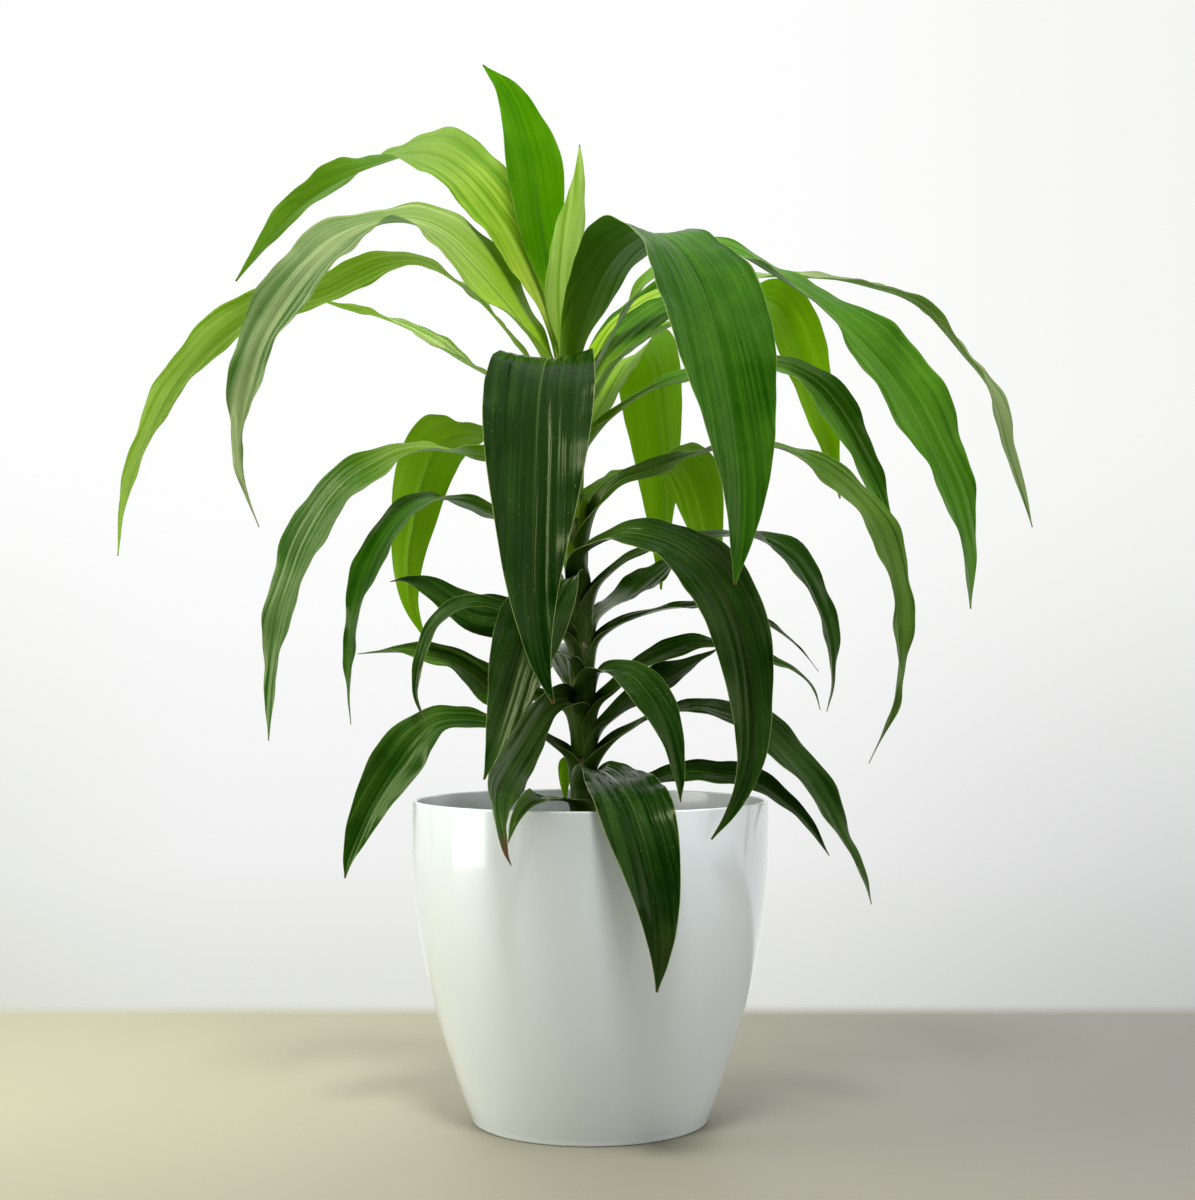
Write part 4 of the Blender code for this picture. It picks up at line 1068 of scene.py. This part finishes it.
    def half_widths(self, leaf: Leaf, distances: np.ndarray, length: float) -> np.ndarray:
        """Half the width of a leaf along its midrib.

        Args:
            leaf: The leaf.
            distances: Distances along the midrib; below 0 is the clasping foot.
            length: The leaf's length.

        Returns:
            The half width at each distance.
        """
        share = np.clip(distances / length, 0.0, 1.0)
        blade = leaf.width * np.array([self.width_share(float(value), leaf.widest) for value in share])
        sheath = min(self.sheath_width, 4.0 + 0.6 * leaf.width, self.sheath_wrap * self.base_radius(leaf))
        blend = smoothstep(0.0, min(self.blade_start, 0.3 * length), distances)
        half = 0.5 * np.maximum(sheath + (blade - sheath) * blend, self.tip_width)
        lower = smoothstep(0.03, 0.16, share) * (1.0 - smoothstep(0.28, 0.48, share))
        half = half * (1.0 + leaf.shoulder * lower)
        grip = 1.0 - smoothstep(4.0, min(self.clasp_end, 0.35 * length), distances)
        clasp = min(self.clasp_wrap * self.base_radius(leaf), 0.30 * leaf.width + 5.0)
        return half + np.maximum(clasp - half, 0.0) * grip

    def section(self, leaf: Leaf, distance: np.ndarray, length: float, column: np.ndarray,
                half: np.ndarray) -> tuple[np.ndarray, np.ndarray]:
        """Offsets of the cross-sections across the leaf and towards its upper face.

        Args:
            leaf: The leaf.
            distance: Distances along the midrib, a column vector.
            length: The leaf's length.
            column: Places across, from -1 to 1, a row vector.
            half: Half widths, a column vector.

        Returns:
            Offsets across and towards the upper face.
        """
        arm = column * half
        base = 1.0 / (self.base_radius(leaf) + self.sheath_spread * np.maximum(distance, 0.0))
        ease = smoothstep(self.cup_start, min(self.cup_end, 0.5 * length), distance)
        bend = base + (self.cup_curvature - base) * ease
        across = np.sin(bend * arm) / bend
        rise = (1.0 - np.cos(bend * arm)) / bend
        rise = rise + self.fold_slope * np.abs(arm) * ease
        phase = self.wave_turn * leaf.azimuth + np.where(column > 0.0, 0.0, self.edge_shift)
        share = distance / length
        fade = smoothstep(self.wave_start, self.wave_full, distance)
        fade = fade * (1.0 - smoothstep(self.wave_fade, 1.0, share))
        swing = np.sin(FULL_TURN * distance / self.wave_length + phase)
        rise = rise + leaf.wave * fade * column ** 2 * swing
        ripple = np.sin(FULL_TURN * distance / self.ripple_length + 2.3 * phase)
        rise = rise + self.ripple_depth * fade * column ** 4 * ripple
        lively = smoothstep(12.0, 60.0, distance) * (1.0 - smoothstep(0.86, 1.0, share))
        drift = self.pleat_drift * np.sin(0.21 * arm + leaf.azimuth)
        drift = drift + 0.3 * np.sin(0.013 * distance + leaf.height)
        pleats = np.abs(np.sin(math.pi * (arm / self.pleat_spacing + drift))) - SINE_MEAN
        depth = self.pleat_depth * (0.7 + 0.3 * np.sin(0.27 * arm + leaf.height))
        creases = np.abs(np.sin(math.pi * (arm / self.crease_spacing - 1.7 * drift))) - SINE_MEAN
        fading = 0.55 + 0.45 * np.sin(0.021 * distance + 0.33 * arm + 2.0 * leaf.azimuth)
        pleats = depth * pleats + self.crease_depth * fading * creases
        rise = rise + lively * (1.0 - column ** 6) * pleats
        groove = np.exp(-(arm / 1.4) ** 2) * smoothstep(4.0, 40.0, distance) * (1.0 - 0.75 * share)
        rise = rise + self.hang_slope * np.abs(arm) * smoothstep(0.38, 0.8, share) * lively
        return across, rise - self.midrib_depth * groove

    def rows_for(self, length: float) -> np.ndarray:
        """Distances of the cross-sections, from the clasping foot to the tip.

        Args:
            length: The leaf's length.

        Returns:
            The distances, in order.
        """
        foot = np.arange(-self.sheath_drop, 0.0, self.foot_step)
        count = max(int(length / self.row_step), self.least_rows)
        return np.concatenate((foot, length * np.linspace(0.0, 1.0, count) ** self.row_bias))

    def sample(self, values: np.ndarray, lengths: np.ndarray, distances: np.ndarray) -> np.ndarray:
        """Values of a list of vectors at arc lengths."""
        return np.stack([np.interp(distances, lengths, values[:, axis]) for axis in range(3)], axis=-1)

    def surface(self, leaf: Leaf) -> dict:
        """Midsurface of a leaf.

        Args:
            leaf: The leaf.

        Returns:
            The grid of points with its distances, columns, half widths and length.
        """
        base, outward = self.base_points(leaf)
        points = base + [self.from_drawing(*stop[:3]) for stop in leaf.path]
        rolls = [0.0, 0.0] + [float(stop[3]) for stop in leaf.path]
        path, dense_rolls, lengths = self.smooth_path(points, rolls)
        sides, normals = self.frames_along(path, dense_rolls, -outward)
        length = float(lengths[-1])
        distances = self.rows_for(length)
        centre = self.sample(path, lengths, distances)
        below = np.minimum(distances, 0.0)
        centre = centre + below[:, None] * np.array((0.0, 0.0, 1.0)) + 0.035 * below[:, None] * outward
        side = self.sample(sides, lengths, distances)
        side /= np.linalg.norm(side, axis=1)[:, None]
        normal = self.sample(normals, lengths, distances)
        normal /= np.linalg.norm(normal, axis=1)[:, None]
        half = self.half_widths(leaf, distances, length)
        count = int(np.clip(round(leaf.width / self.column_step), *self.columns_allowed))
        columns = np.linspace(-1.0, 1.0, count + count % 2 + 1)
        columns = np.sign(columns) * np.abs(columns) ** self.column_bias
        across, rise = self.section(leaf, distances[:, None], length, columns[None, :], half[:, None])
        grid = centre[:, None, :] + side[:, None, :] * across[..., None]
        grid = grid + normal[:, None, :] * rise[..., None]
        return {"grid": grid, "distances": distances, "columns": columns, "half": half, "length": length}

    def thickness(self, columns: np.ndarray, share: np.ndarray) -> np.ndarray:
        """Thickness of the blade: fullest at the midrib, thin at the margin and the tip.

        Args:
            columns: Places across, from -1 to 1.
            share: Shares of the length.

        Returns:
            The thickness of each row and column.
        """
        fuller = self.middle_thickness - self.margin_thickness
        across = self.margin_thickness + fuller * (1.0 - columns ** 2)
        return across[None, :] * (1.0 - 0.45 * smoothstep(0.6, 1.0, share))[:, None]

    def build_leaf(self, index: int, leaf: Leaf) -> None:
        """Make one leaf and stand it in for the frame's.

        Args:
            index: The leaf's place in the table, which sets its own streaks.
            leaf: The leaf.
        """
        made = self.surface(leaf)
        grid, distances, columns, half = (made[key] for key in ("grid", "distances", "columns", "half"))
        length = made["length"]
        along = np.gradient(grid, axis=0)
        across = np.gradient(grid, axis=1)
        normals = np.cross(across, along)
        normals /= np.maximum(np.linalg.norm(normals, axis=2), 1e-9)[:, :, None]
        share = np.clip(distances / length, 0.0, 1.0)
        offset = 0.5 * self.thickness(columns, share)[:, :, None] * normals
        points = np.concatenate(((grid + offset).reshape(-1, 3), (grid - offset).reshape(-1, 3)))
        rows, count = grid.shape[:2]
        faces = self.shell_faces(rows, count)
        name = leaf.name.replace("leaf_", "blade_")
        piece = mesh_object(name, points, faces, self.material_for(leaf), BLADE_SMOOTH_BELOW_DEG)
        self.mark(piece.data, leaf, index, distances, columns, half, length)
        dress(piece, [leaf.name])

    def shell_faces(self, rows: int, count: int) -> list:
        """Faces of a closed shell of two like grids.

        Args:
            rows: Rows of each grid.
            count: Columns of each grid.

        Returns:
            The faces of both grids and of the rim between them.
        """
        shift = rows * count
        faces = []
        for row in range(rows - 1):
            for column in range(count - 1):
                a = row * count + column
                quad = (a, a + 1, a + count + 1, a + count)
                faces.append(quad)
                faces.append(tuple(shift + corner for corner in reversed(quad)))
        border = [row * count for row in range(rows)]
        border += [(rows - 1) * count + column for column in range(1, count)]
        border += [row * count + count - 1 for row in range(rows - 2, -1, -1)]
        border += [column for column in range(count - 2, 0, -1)]
        for here, after in zip(border, border[1:] + border[:1]):
            faces.append((here, after, shift + after, shift + here))
        return faces

    def mark(self, mesh: bpy.types.Mesh, leaf: Leaf, index: int, distances: np.ndarray,
             columns: np.ndarray, half: np.ndarray, length: float) -> None:
        """Store on each vertex of both faces what the blade's finish reads.

        Args:
            mesh: The leaf's mesh.
            leaf: The leaf.
            index: Its place in the table.
            distances: Distances of the rows.
            columns: Places of the columns.
            half: Half widths of the rows.
            length: The leaf's length.
        """
        shape = (2, len(distances), len(columns))
        far = np.broadcast_to(distances[None, :, None], shape)
        arm = np.broadcast_to(columns * half[:, None], shape)
        margin = np.broadcast_to((1.0 - np.abs(columns)) * half[:, None], shape)
        dryness = smoothstep(length - leaf.dry_tip * 1.5, length - leaf.dry_tip * 0.5, far)
        under = np.broadcast_to(np.array((1.0, 0.0))[:, None, None], shape)
        offset = np.full(shape, self.streak_offset * index)
        add_vectors(mesh, "place", arm, far, margin)
        add_vectors(mesh, "state", dryness, offset, np.full(shape, leaf.tone_and_shade_shift))
        add_vectors(mesh, "form", np.clip(far / length, 0.0, 1.0), under, np.zeros(shape))

    def material_for(self, leaf: Leaf) -> bpy.types.Material:
        """Material of a leaf, made once for each growth.

        Args:
            leaf: The leaf.

        Returns:
            Its material.
        """
        if leaf.growth not in self.materials:
            self.materials[leaf.growth] = BLADE_FINISHES[leaf.growth].build()
        return self.materials[leaf.growth]

    def build(self) -> None:
        """Make every leaf."""
        for index, leaf in enumerate(LEAVES):
            self.build_leaf(index, leaf)


@dataclass
class Planter:
    """The round pot: one turned wall with a flat bottom, a rounded foot and a rounded lip."""

    height: float = 195.0
    radius: float = 110.0
    belly: float = 165.0
    taper: float = 38.0
    power: float = 1.75
    wall: float = 3.0
    floor: float = 4.0
    fillet: float = 5.0
    edge: float = 1.6
    lip: float = 1.2
    levels: int = 40
    level_power: float = 1.4
    steps: int = 192

    def outside(self, height: float) -> float:
        """Outside radius at a height."""
        share = max(self.belly - height, 0.0) / self.belly
        return self.radius - self.taper * share ** self.power

    def arc(self, centre: tuple, radii: tuple, start: float, end: float, steps: int) -> list:
        """Points of an elliptical arc as (radius, height), between two angles in degrees."""
        angles = (math.radians(start + (end - start) * step / steps) for step in range(steps + 1))
        return [(centre[0] + radii[0] * math.cos(a), centre[1] + radii[1] * math.sin(a)) for a in angles]

    def profile(self) -> list:
        """Half section of the pot.

        Returns:
            Radius and height of each point, from the inside centre over the lip to the underside's centre.
        """
        shares = [step / self.levels for step in range(1, self.levels + 1)]
        rises = [self.belly * share ** self.level_power for share in shares]
        inner_foot = self.outside(self.floor + self.fillet) - self.wall
        outer_foot = self.outside(self.edge)
        points = [(0.0, self.floor)]
        fillet_centre = (inner_foot - self.fillet, self.floor + self.fillet)
        points += self.arc(fillet_centre, (self.fillet,) * 2, -90.0, 0.0, 8)
        points += [(self.outside(z) - self.wall, z) for z in rises if z > self.floor + 2.0 * self.fillet]
        lip_centre = (self.radius - 0.5 * self.wall, self.height - self.lip)
        points += self.arc(lip_centre, (0.5 * self.wall, self.lip), 180.0, 0.0, 12)
        points += [(self.outside(z), z) for z in reversed(rises) if z > 2.0 * self.edge]
        edge_centre = (outer_foot - self.edge, self.edge)
        points += self.arc(edge_centre, (self.edge,) * 2, 0.0, -90.0, 6)
        points.append((0.0, 0.0))
        return points

    def build(self, finish: GlazeFinish) -> None:
        """Turn the half section into the pot.

        Args:
            finish: Its glaze.
        """
        shape = bmesh.new()
        corners = [shape.verts.new((radius * MM, 0.0, height * MM)) for radius, height in self.profile()]
        for here, after in zip(corners, corners[1:]):
            shape.edges.new((here, after))
        mesh = bpy.data.meshes.new("planter_profile")
        shape.to_mesh(mesh)
        shape.free()
        turned = bpy.data.objects.new("planter_profile", mesh)
        bpy.context.scene.collection.objects.link(turned)
        turning = turned.modifiers.new("Turning", "SCREW")
        turning.steps = self.steps
        turning.render_steps = self.steps
        turning.use_merge_vertices = True
        turning.merge_threshold = 0.00005
        turning.use_smooth_shade = True
        piece = baked(turned, "planter", finish.build())
        piece.data.set_sharp_from_angle(angle=math.radians(SMOOTH_BELOW_DEG))
        dress(piece, ["pot"])


@dataclass(frozen=True)
class Litter:
    """One kind of loose bit that lies on the soil."""

    name: str
    density: float
    size: float
    flatness: float
    length: float
    detail: int
    seed: int
    finish: EarthFinish


LITTERS = (
    Litter("soil_crumbs", 62000.0, 1.35, 0.7, 1.2, 1, 3, SOIL_FINISH),
    Litter("bark_chips", 4200.0, 3.0, 0.35, 1.9, 2, 11, CHIP_FINISH),
    Litter("pale_grains", 3200.0, 1.5, 0.85, 1.1, 2, 23, GRAIN_FINISH),
)


@dataclass
class Soil:
    """Potting soil that fills the pot, with crumbs, chips and grains on its surface."""

    stem: Stem
    planter: Planter
    top: float = 170.0
    hole_depth: float = 60.0
    gap: float = 0.3
    bump: float = 1.6
    segments: int = 168
    ring_step: float = 1.9
    wall_heights: tuple = (24.0, 42.0, 62.0, 85.0, 110.0, 137.0, 160.0)
    pull_radii: tuple = (18.0, 62.0)
    clear_of_stem: float = 9.5
    clear_of_wall: float = 4.5

    def height(self, across: np.ndarray, depth: np.ndarray) -> np.ndarray:
        """Height of the surface, with broad unevenness and fine lumps.

        Args:
            across: Places to the right.
            depth: Places towards the back.

        Returns:
            The height at each place.
        """
        radius = np.hypot(across, depth)
        angle = np.arctan2(depth, across)
        broad = np.sin(radius * 0.11 + 2.0 * angle) + 0.7 * np.sin(radius * 0.19 - 3.0 * angle + 1.3)
        lumps = np.sin(across * 0.83 + 1.1 * np.sin(depth * 0.61))
        lumps = lumps * np.sin(depth * 0.77 + 0.9 * np.sin(across * 0.53))
        fine = np.sin(across * 1.9 + depth * 1.3) * np.sin(depth * 2.1 - across * 0.7)
        return self.top + 0.5 * self.bump * broad + 0.35 * lumps + 0.18 * fine

    def rings(self) -> list[tuple]:
        """Rings of the soil, from its underside over the surface into the stem's hole.

        Returns:
            Each ring's radius, its height, or None on the surface, and its pull towards the stem.
        """
        clearance = self.planter.wall + 2.0 * self.gap
        floor = self.planter.floor + self.gap
        rings = [(self.planter.outside(floor) - clearance - self.planter.fillet, floor, 0.0)]
        for height in self.wall_heights:
            rings.append((self.planter.outside(height) - clearance, height, 0.0))
        edge = self.planter.radius - clearance
        hole = float(self.stem.radius(self.top)) + self.gap
        for radius in np.arange(edge, hole + self.ring_step, -self.ring_step):
            rings.append((float(radius), None, 1.0 - float(smoothstep(*self.pull_radii, radius))))
        rings.append((hole, self.top, 1.0))
        rings.append((hole, self.top - self.hole_depth, 1.0))
        return rings

    def build(self, finish: EarthFinish) -> None:
        """Make the soil and what lies on it.

        Args:
            finish: The soil's finish.
        """
        angles = np.arange(self.segments) * FULL_TURN / self.segments
        centre = self.stem.centre(np.float64(self.top))
        rows = []
        for radius, height, pull in self.rings():
            across = centre[0] * pull + radius * np.cos(angles)
            depth = centre[1] * pull + radius * np.sin(angles)
            level = self.height(across, depth) if height is None else np.full_like(across, height)
            rows.append(np.stack([across, depth, level], axis=-1))
        faces = ring_faces(len(rows), self.segments)
        piece = mesh_object("soil_bed", np.concatenate(rows), faces, finish.build())
        dress(piece, ["soil"])
        for litter in LITTERS:
            self.scatter(piece, litter)

    def scatter(self, bed: bpy.types.Object, litter: Litter) -> None:
        """Strew one kind of bit over the bed with a node tree, and bake it.

        Args:
            bed: The soil's object.
            litter: What is strewn.
        """
        carrier = bed.copy()
        carrier.data = bed.data.copy()
        carrier.parent = None
        carrier.name = litter.name + "_carrier"
        bpy.context.scene.collection.objects.link(carrier)
        material = bpy.data.materials.get(litter.finish.name) or litter.finish.build()
        tree = ScatterTree(litter.name, material).build()
        strewing = carrier.modifiers.new("Strewing", "NODES")
        strewing.node_group = tree
        values = {
            "Density": litter.density,
            "Size": litter.size * MM,
            "Flatness": litter.flatness,
            "Length": litter.length,
            "Detail": litter.detail,
            "Seed": litter.seed,
            "Inner": self.clear_of_stem * MM,
            "Outer": (self.planter.radius - self.planter.wall - self.clear_of_wall) * MM,
        }
        for item in tree.interface.items_tree:
            if item.in_out == "INPUT" and item.name in values:
                strewing[item.identifier] = values[item.name]
        piece = baked(carrier, litter.name, material)
        dress(piece)


@dataclass
class ScatterTree:
    """A geometry node tree that strews faceted bits over the level part of a surface.

    Faces that point up by more than level_from count as level. Each bit is tilted by up to tilt
    (radians) either way, and sized between the two shares in sizes.
    """

    name: str
    material: bpy.types.Material
    graph: Graph | None = None
    level_from: float = 0.6
    tilt: float = 0.5
    sizes: tuple = (0.45, 1.25)
    breadth: float = 0.8
    knock_scale: float = 500.0

    def build(self) -> bpy.types.NodeTree:
        """Build the tree.

        Returns:
            The finished tree.
        """
        self.graph = Graph(bpy.data.node_groups.new(self.name, "GeometryNodeTree"))
        self.add_sockets(self.graph.tree.interface)
        sockets = self.graph.node("NodeGroupInput").output.node.outputs
        start = {socket.name: Wire(self.graph, socket) for socket in sockets}
        strewn = self.bits(start, self.ground(start))
        inputs = {"Geometry": strewn, "Material": self.material}
        painted = self.graph.node("GeometryNodeSetMaterial", inputs=inputs)
        self.graph.node("NodeGroupOutput", inputs={0: painted})
        return self.graph.tree

    def add_sockets(self, face: bpy.types.NodeTreeInterface) -> None:
        """Args:
            face: The tree's interface.
        """
        face.new_socket("Geometry", in_out="INPUT", socket_type="NodeSocketGeometry")
        for label in ("Density", "Size", "Flatness", "Length", "Inner", "Outer"):
            face.new_socket(label, in_out="INPUT", socket_type="NodeSocketFloat")
        for label in ("Detail", "Seed"):
            face.new_socket(label, in_out="INPUT", socket_type="NodeSocketInt")
        face.new_socket("Geometry", in_out="OUTPUT", socket_type="NodeSocketGeometry")

    def compare(self, first: Any, operation: str, second: Any) -> Wire:
        """Whether one number is above or below another."""
        return self.graph.node("FunctionNodeCompare", {"operation": operation}, {0: first, 1: second})

    def both(self, first: Wire, second: Wire) -> Wire:
        """Whether both hold."""
        return self.graph.node("FunctionNodeBooleanMath", {"operation": "AND"}, {0: first, 1: second})

    def ground(self, start: dict) -> Wire:
        """Choose the level ground between the stem and the wall.

        Args:
            start: The tree's inputs by name.

        Returns:
            The selection.
        """
        place = self.graph.node("GeometryNodeInputPosition")
        flat = self.graph.vector_maths("MULTIPLY", {0: place, 1: (1.0, 1.0, 0.0)})
        reach = self.graph.vector_maths("LENGTH", {0: flat}, "Value")
        _, _, upward = self.graph.split(self.graph.node("GeometryNodeInputNormal"))
        past_stem = self.compare(reach, "GREATER_THAN", start["Inner"])
        within_wall = self.compare(reach, "LESS_THAN", start["Outer"])
        level = self.compare(upward, "GREATER_THAN", self.level_from)
        return self.both(self.both(past_stem, within_wall), level)

    def bits(self, start: dict, chosen: Wire) -> Wire:
        """Strew the bits, each turned and sized at random, and roughen them.

        Args:
            start: The tree's inputs by name.
            chosen: Where they may lie.

        Returns:
            The bits as plain geometry.
        """
        node = self.graph.node
        scaled = self.graph.vector_maths
        spread = node("GeometryNodeDistributePointsOnFaces", inputs={
            "Mesh": start["Geometry"],
            "Selection": chosen,
            "Density": start["Density"],
            "Seed": start["Seed"],
        })
        shape = {"Radius": start["Size"], "Subdivisions": start["Detail"]}
        bit = node("GeometryNodeMeshIcoSphere", inputs=shape)
        turn = node("FunctionNodeRandomValue", {"data_type": "FLOAT_VECTOR"}, {
            0: (-self.tilt, -self.tilt, 0.0), 1: (self.tilt, self.tilt, FULL_TURN), "Seed": start["Seed"]})
        size = node("FunctionNodeRandomValue", {"data_type": "FLOAT"}, {
            "Min": self.sizes[0], "Max": self.sizes[1], "Seed": start["Seed"]}, "Value")
        stretch = self.graph.vector(start["Length"], self.breadth, start["Flatness"])
        scale = scaled("SCALE", {0: stretch, "Scale": size})
        placed = node("GeometryNodeInstanceOnPoints", inputs={
            "Points": spread, "Instance": bit, "Rotation": turn, "Scale": scale})
        real = node("GeometryNodeRealizeInstances", inputs={0: placed})
        rough = node("ShaderNodeTexNoise", inputs={"Scale": self.knock_scale}, output="Color")
        centred = scaled("SUBTRACT", {0: rough, 1: (0.5, 0.5, 0.5)})
        knock = scaled("SCALE", {0: centred, "Scale": start["Size"]})
        return node("GeometryNodeSetPosition", inputs={"Geometry": real, "Offset": knock})


@dataclass(frozen=True)
class Panel:
    """One soft light panel, with its place, aim and size in mm and its power in watts."""

    name: str
    place: tuple
    aim: tuple
    size: tuple
    power: float
    colour: Colour
    mirrored: bool = True

    def hang(self) -> None:
        """Add the light to the scene; glossy surfaces show it only where it is mirrored."""
        data = bpy.data.lights.new(self.name, "AREA")
        data.shape = "RECTANGLE"
        data.size, data.size_y = self.size[0] * MM, self.size[1] * MM
        data.energy = self.power
        data.color = self.colour
        panel = bpy.data.objects.new(self.name, data)
        panel.location = Vector(self.place) * MM
        direction = (Vector(self.aim) - Vector(self.place)).normalized()
        panel.rotation_mode = "QUATERNION"
        panel.rotation_quaternion = direction.to_track_quat("-Z", "Y")
        panel.visible_glossy = self.mirrored
        bpy.context.scene.collection.objects.link(panel)


PANELS = (
    Panel("window", (-1178.0, -229.0, 1110.0), (0.0, 0.0, 1110.0), (554.0, 2200.0), 19.0,
          (1.0, 0.965, 0.90)),
    Panel("top_light", (-60.0, 320.0, 1500.0), (0.0, 60.0, 350.0), (1300.0, 900.0), 10.5, (0.97, 1.0, 0.98),
          mirrored=False),
    Panel("key", (-20.0, -680.0, 1390.0), (0.0, -100.0, 150.0), (280.0, 280.0), 17.0, (0.95, 0.98, 1.0),
          mirrored=False),
    Panel("fill", (820.0, -900.0, 520.0), (0.0, 0.0, 330.0), (800.0, 800.0), 2.8, (1.0, 0.945, 0.94),
          mirrored=False),
    Panel("wall_glow", (0.0, 1500.0, 700.0), (0.0, 0.0, 350.0), (2400.0, 1600.0), 13.0, (1.0, 1.0, 0.97),
          mirrored=False),
)


@dataclass
class Studio:
    """The table, the pale backdrop, the soft light and the camera."""

    eye: tuple = EYE
    pitch_deg: float = 2.58
    lens: float = 54.0
    table_back: float = 391.0
    table_reach: float = 2600.0
    table_thickness: float = 30.0
    table_lit_left: Colour = linear(166, 162, 135)
    table_shaded_right: Colour = linear(124, 120, 112)
    table_shaded_near: Colour = linear(124, 122, 106)
    table_fade: float = 60.0
    backdrop_radius: float = 2600.0
    backdrop_low: float = -1400.0
    backdrop_high: float = 4200.0
    backdrop_rows: int = 15
    backdrop_steps: int = 96
    light_core: Colour = (0.05, 0.08, 0.08)
    light_front: Colour = (0.27, 0.34, 0.35)
    light_behind: Colour = (1.0, 1.02, 1.0)
    light_left: Colour = (0.45, 0.46, 0.44)
    light_right: Colour = (1.4, 1.38, 1.44)
    light_above: Colour = (0.5, 0.5, 0.48)

    def build_camera(self) -> None:
        """Stand the camera at the photograph's viewing point."""
        data = bpy.data.cameras.new("camera")
        data.lens = self.lens
        data.sensor_width = 36.0
        camera = bpy.data.objects.new("camera", data)
        camera.location = Vector(self.eye) * MM
        camera.rotation_euler = (math.radians(90.0 + self.pitch_deg), 0.0, 0.0)
        bpy.context.scene.collection.objects.link(camera)
        bpy.context.scene.camera = camera

    def build_table(self) -> None:
        """Lay the table top, which ends a little way behind the pot; its colour is painted lighter on the left
        and darker to the right and at the front, for light and shade.
        """
        reach, back, low = self.table_reach, self.table_back, -self.table_thickness
        corners = [(x, y, z) for z in (low, 0.0) for y in (-reach, back) for x in (-reach, reach)]
        faces = [(0, 2, 3, 1), (4, 5, 7, 6), (0, 1, 5, 4), (2, 6, 7, 3), (0, 4, 6, 2), (1, 3, 7, 5)]
        material, graph = new_material("table_top")
        across, depth, _ = graph.split(graph.object_place())
        # Painted light and shade: lighter on the left, towards the window, darker to the right and near the
        # front.
        colour = graph.blend(self.table_lit_left, self.table_shaded_right, graph.step(across, -0.45, 0.45))
        colour = graph.blend(colour, self.table_shaded_near, graph.step(depth, 0.05, -0.4) * 0.6)
        top = graph.principled({"Base Color": colour, "Roughness": 0.55})
        fade = graph.step(depth, (back - self.table_fade) * MM, back * MM)
        clear = graph.node("ShaderNodeBsdfTransparent")
        graph.finish(graph.node("ShaderNodeMixShader", inputs={0: fade, 1: top, 2: clear}))
        mesh_object("table", np.array(corners), faces, material)

    def build_backdrop(self) -> None:
        """Stand a pale glowing cylinder round the scene, which only the camera sees; its colour paints the
        light on a wall, brightest high up, greyer low on the right and creamier low on the left.
        """
        levels = np.linspace(self.backdrop_low, self.backdrop_high, self.backdrop_rows)
        angles = np.arange(self.backdrop_steps) * FULL_TURN / self.backdrop_steps
        points = [(self.backdrop_radius * math.cos(a), self.backdrop_radius * math.sin(a), z)
                  for z in levels for a in angles]
        faces = ring_faces(self.backdrop_rows, self.backdrop_steps, capped=False)
        material, graph = new_material("backdrop")
        across, _, height = graph.split(graph.object_place())
        # Painted light: the glow is brightest high up and dims downwards, greyer to the lower right and
        # creamier to the lower left.
        rise = graph.step(height, -0.72, 0.85)
        stops = [(0.0, linear(216, 218, 210)), (0.35, linear(240, 241, 240)), (1.0, linear(254, 255, 254))]
        colour = graph.node("ShaderNodeValToRGB", {"stops": stops}, {0: rise})
        right = graph.step(across, 0.1, 1.6)
        colour = graph.blend(colour, linear(166, 169, 170), right * (1.0 - rise) * 0.9)
        colour = graph.blend(colour, linear(226, 228, 222), right * rise * 0.45)
        left = graph.step(across, -0.7, -1.6)
        colour = graph.blend(colour, linear(206, 210, 190), left * (1.0 - rise) * 0.8)
        graph.finish(graph.node("ShaderNodeEmission", inputs={"Color": colour, "Strength": 1.0}))
        wall = mesh_object("backdrop", np.array(points), faces, material)
        wall.visible_diffuse = False
        wall.visible_glossy = False
        wall.visible_transmission = False
        wall.visible_shadow = False

    def build_world(self) -> None:
        """Light the scene from all round: bright behind and above, dim in front."""
        world = bpy.data.worlds.new("studio")
        world.use_nodes = True
        bpy.context.scene.world = world
        graph = Graph(world.node_tree)
        across, depth, up = graph.split(graph.node("ShaderNodeTexCoord", output="Generated"))
        behind = graph.step(depth, -0.35, 0.75)
        core = graph.step(depth, -0.45, -0.85)
        above = graph.step(up, 0.05, 0.85)
        leftward = graph.step(across, 0.1, -0.9)
        rightward = graph.step(across, 0.3, 1.0)
        colour = graph.blend(self.light_front, self.light_behind, behind)
        colour = graph.blend(colour, self.light_left, leftward * 0.8)
        colour = graph.blend(colour, self.light_right, rightward * 0.7)
        colour = graph.blend(colour, self.light_above, above)
        colour = graph.blend(colour, self.light_core, core)
        graph.finish(graph.node("ShaderNodeBackground", inputs={"Color": colour, "Strength": 1.0}))

    def build(self) -> None:
        """Set the whole stage."""
        settings = bpy.context.scene.view_settings
        settings.view_transform = "Standard"
        settings.look = "None"
        self.build_camera()
        self.build_table()
        self.build_backdrop()
        self.build_world()
        for panel in PANELS:
            panel.hang()


def main() -> None:
    """Build the scene, piece by piece."""
    logging.basicConfig(level=logging.INFO, format="%(name)s %(message)s")
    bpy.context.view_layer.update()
    studio = Studio()
    stem = Stem()
    planter = Planter()
    studio.build()
    planter.build(GlazeFinish())
    Soil(stem, planter).build(SOIL_FINISH)
    stem.build(BarkFinish())
    Foliage(stem).build()


if __name__ == "__main__":
    main()
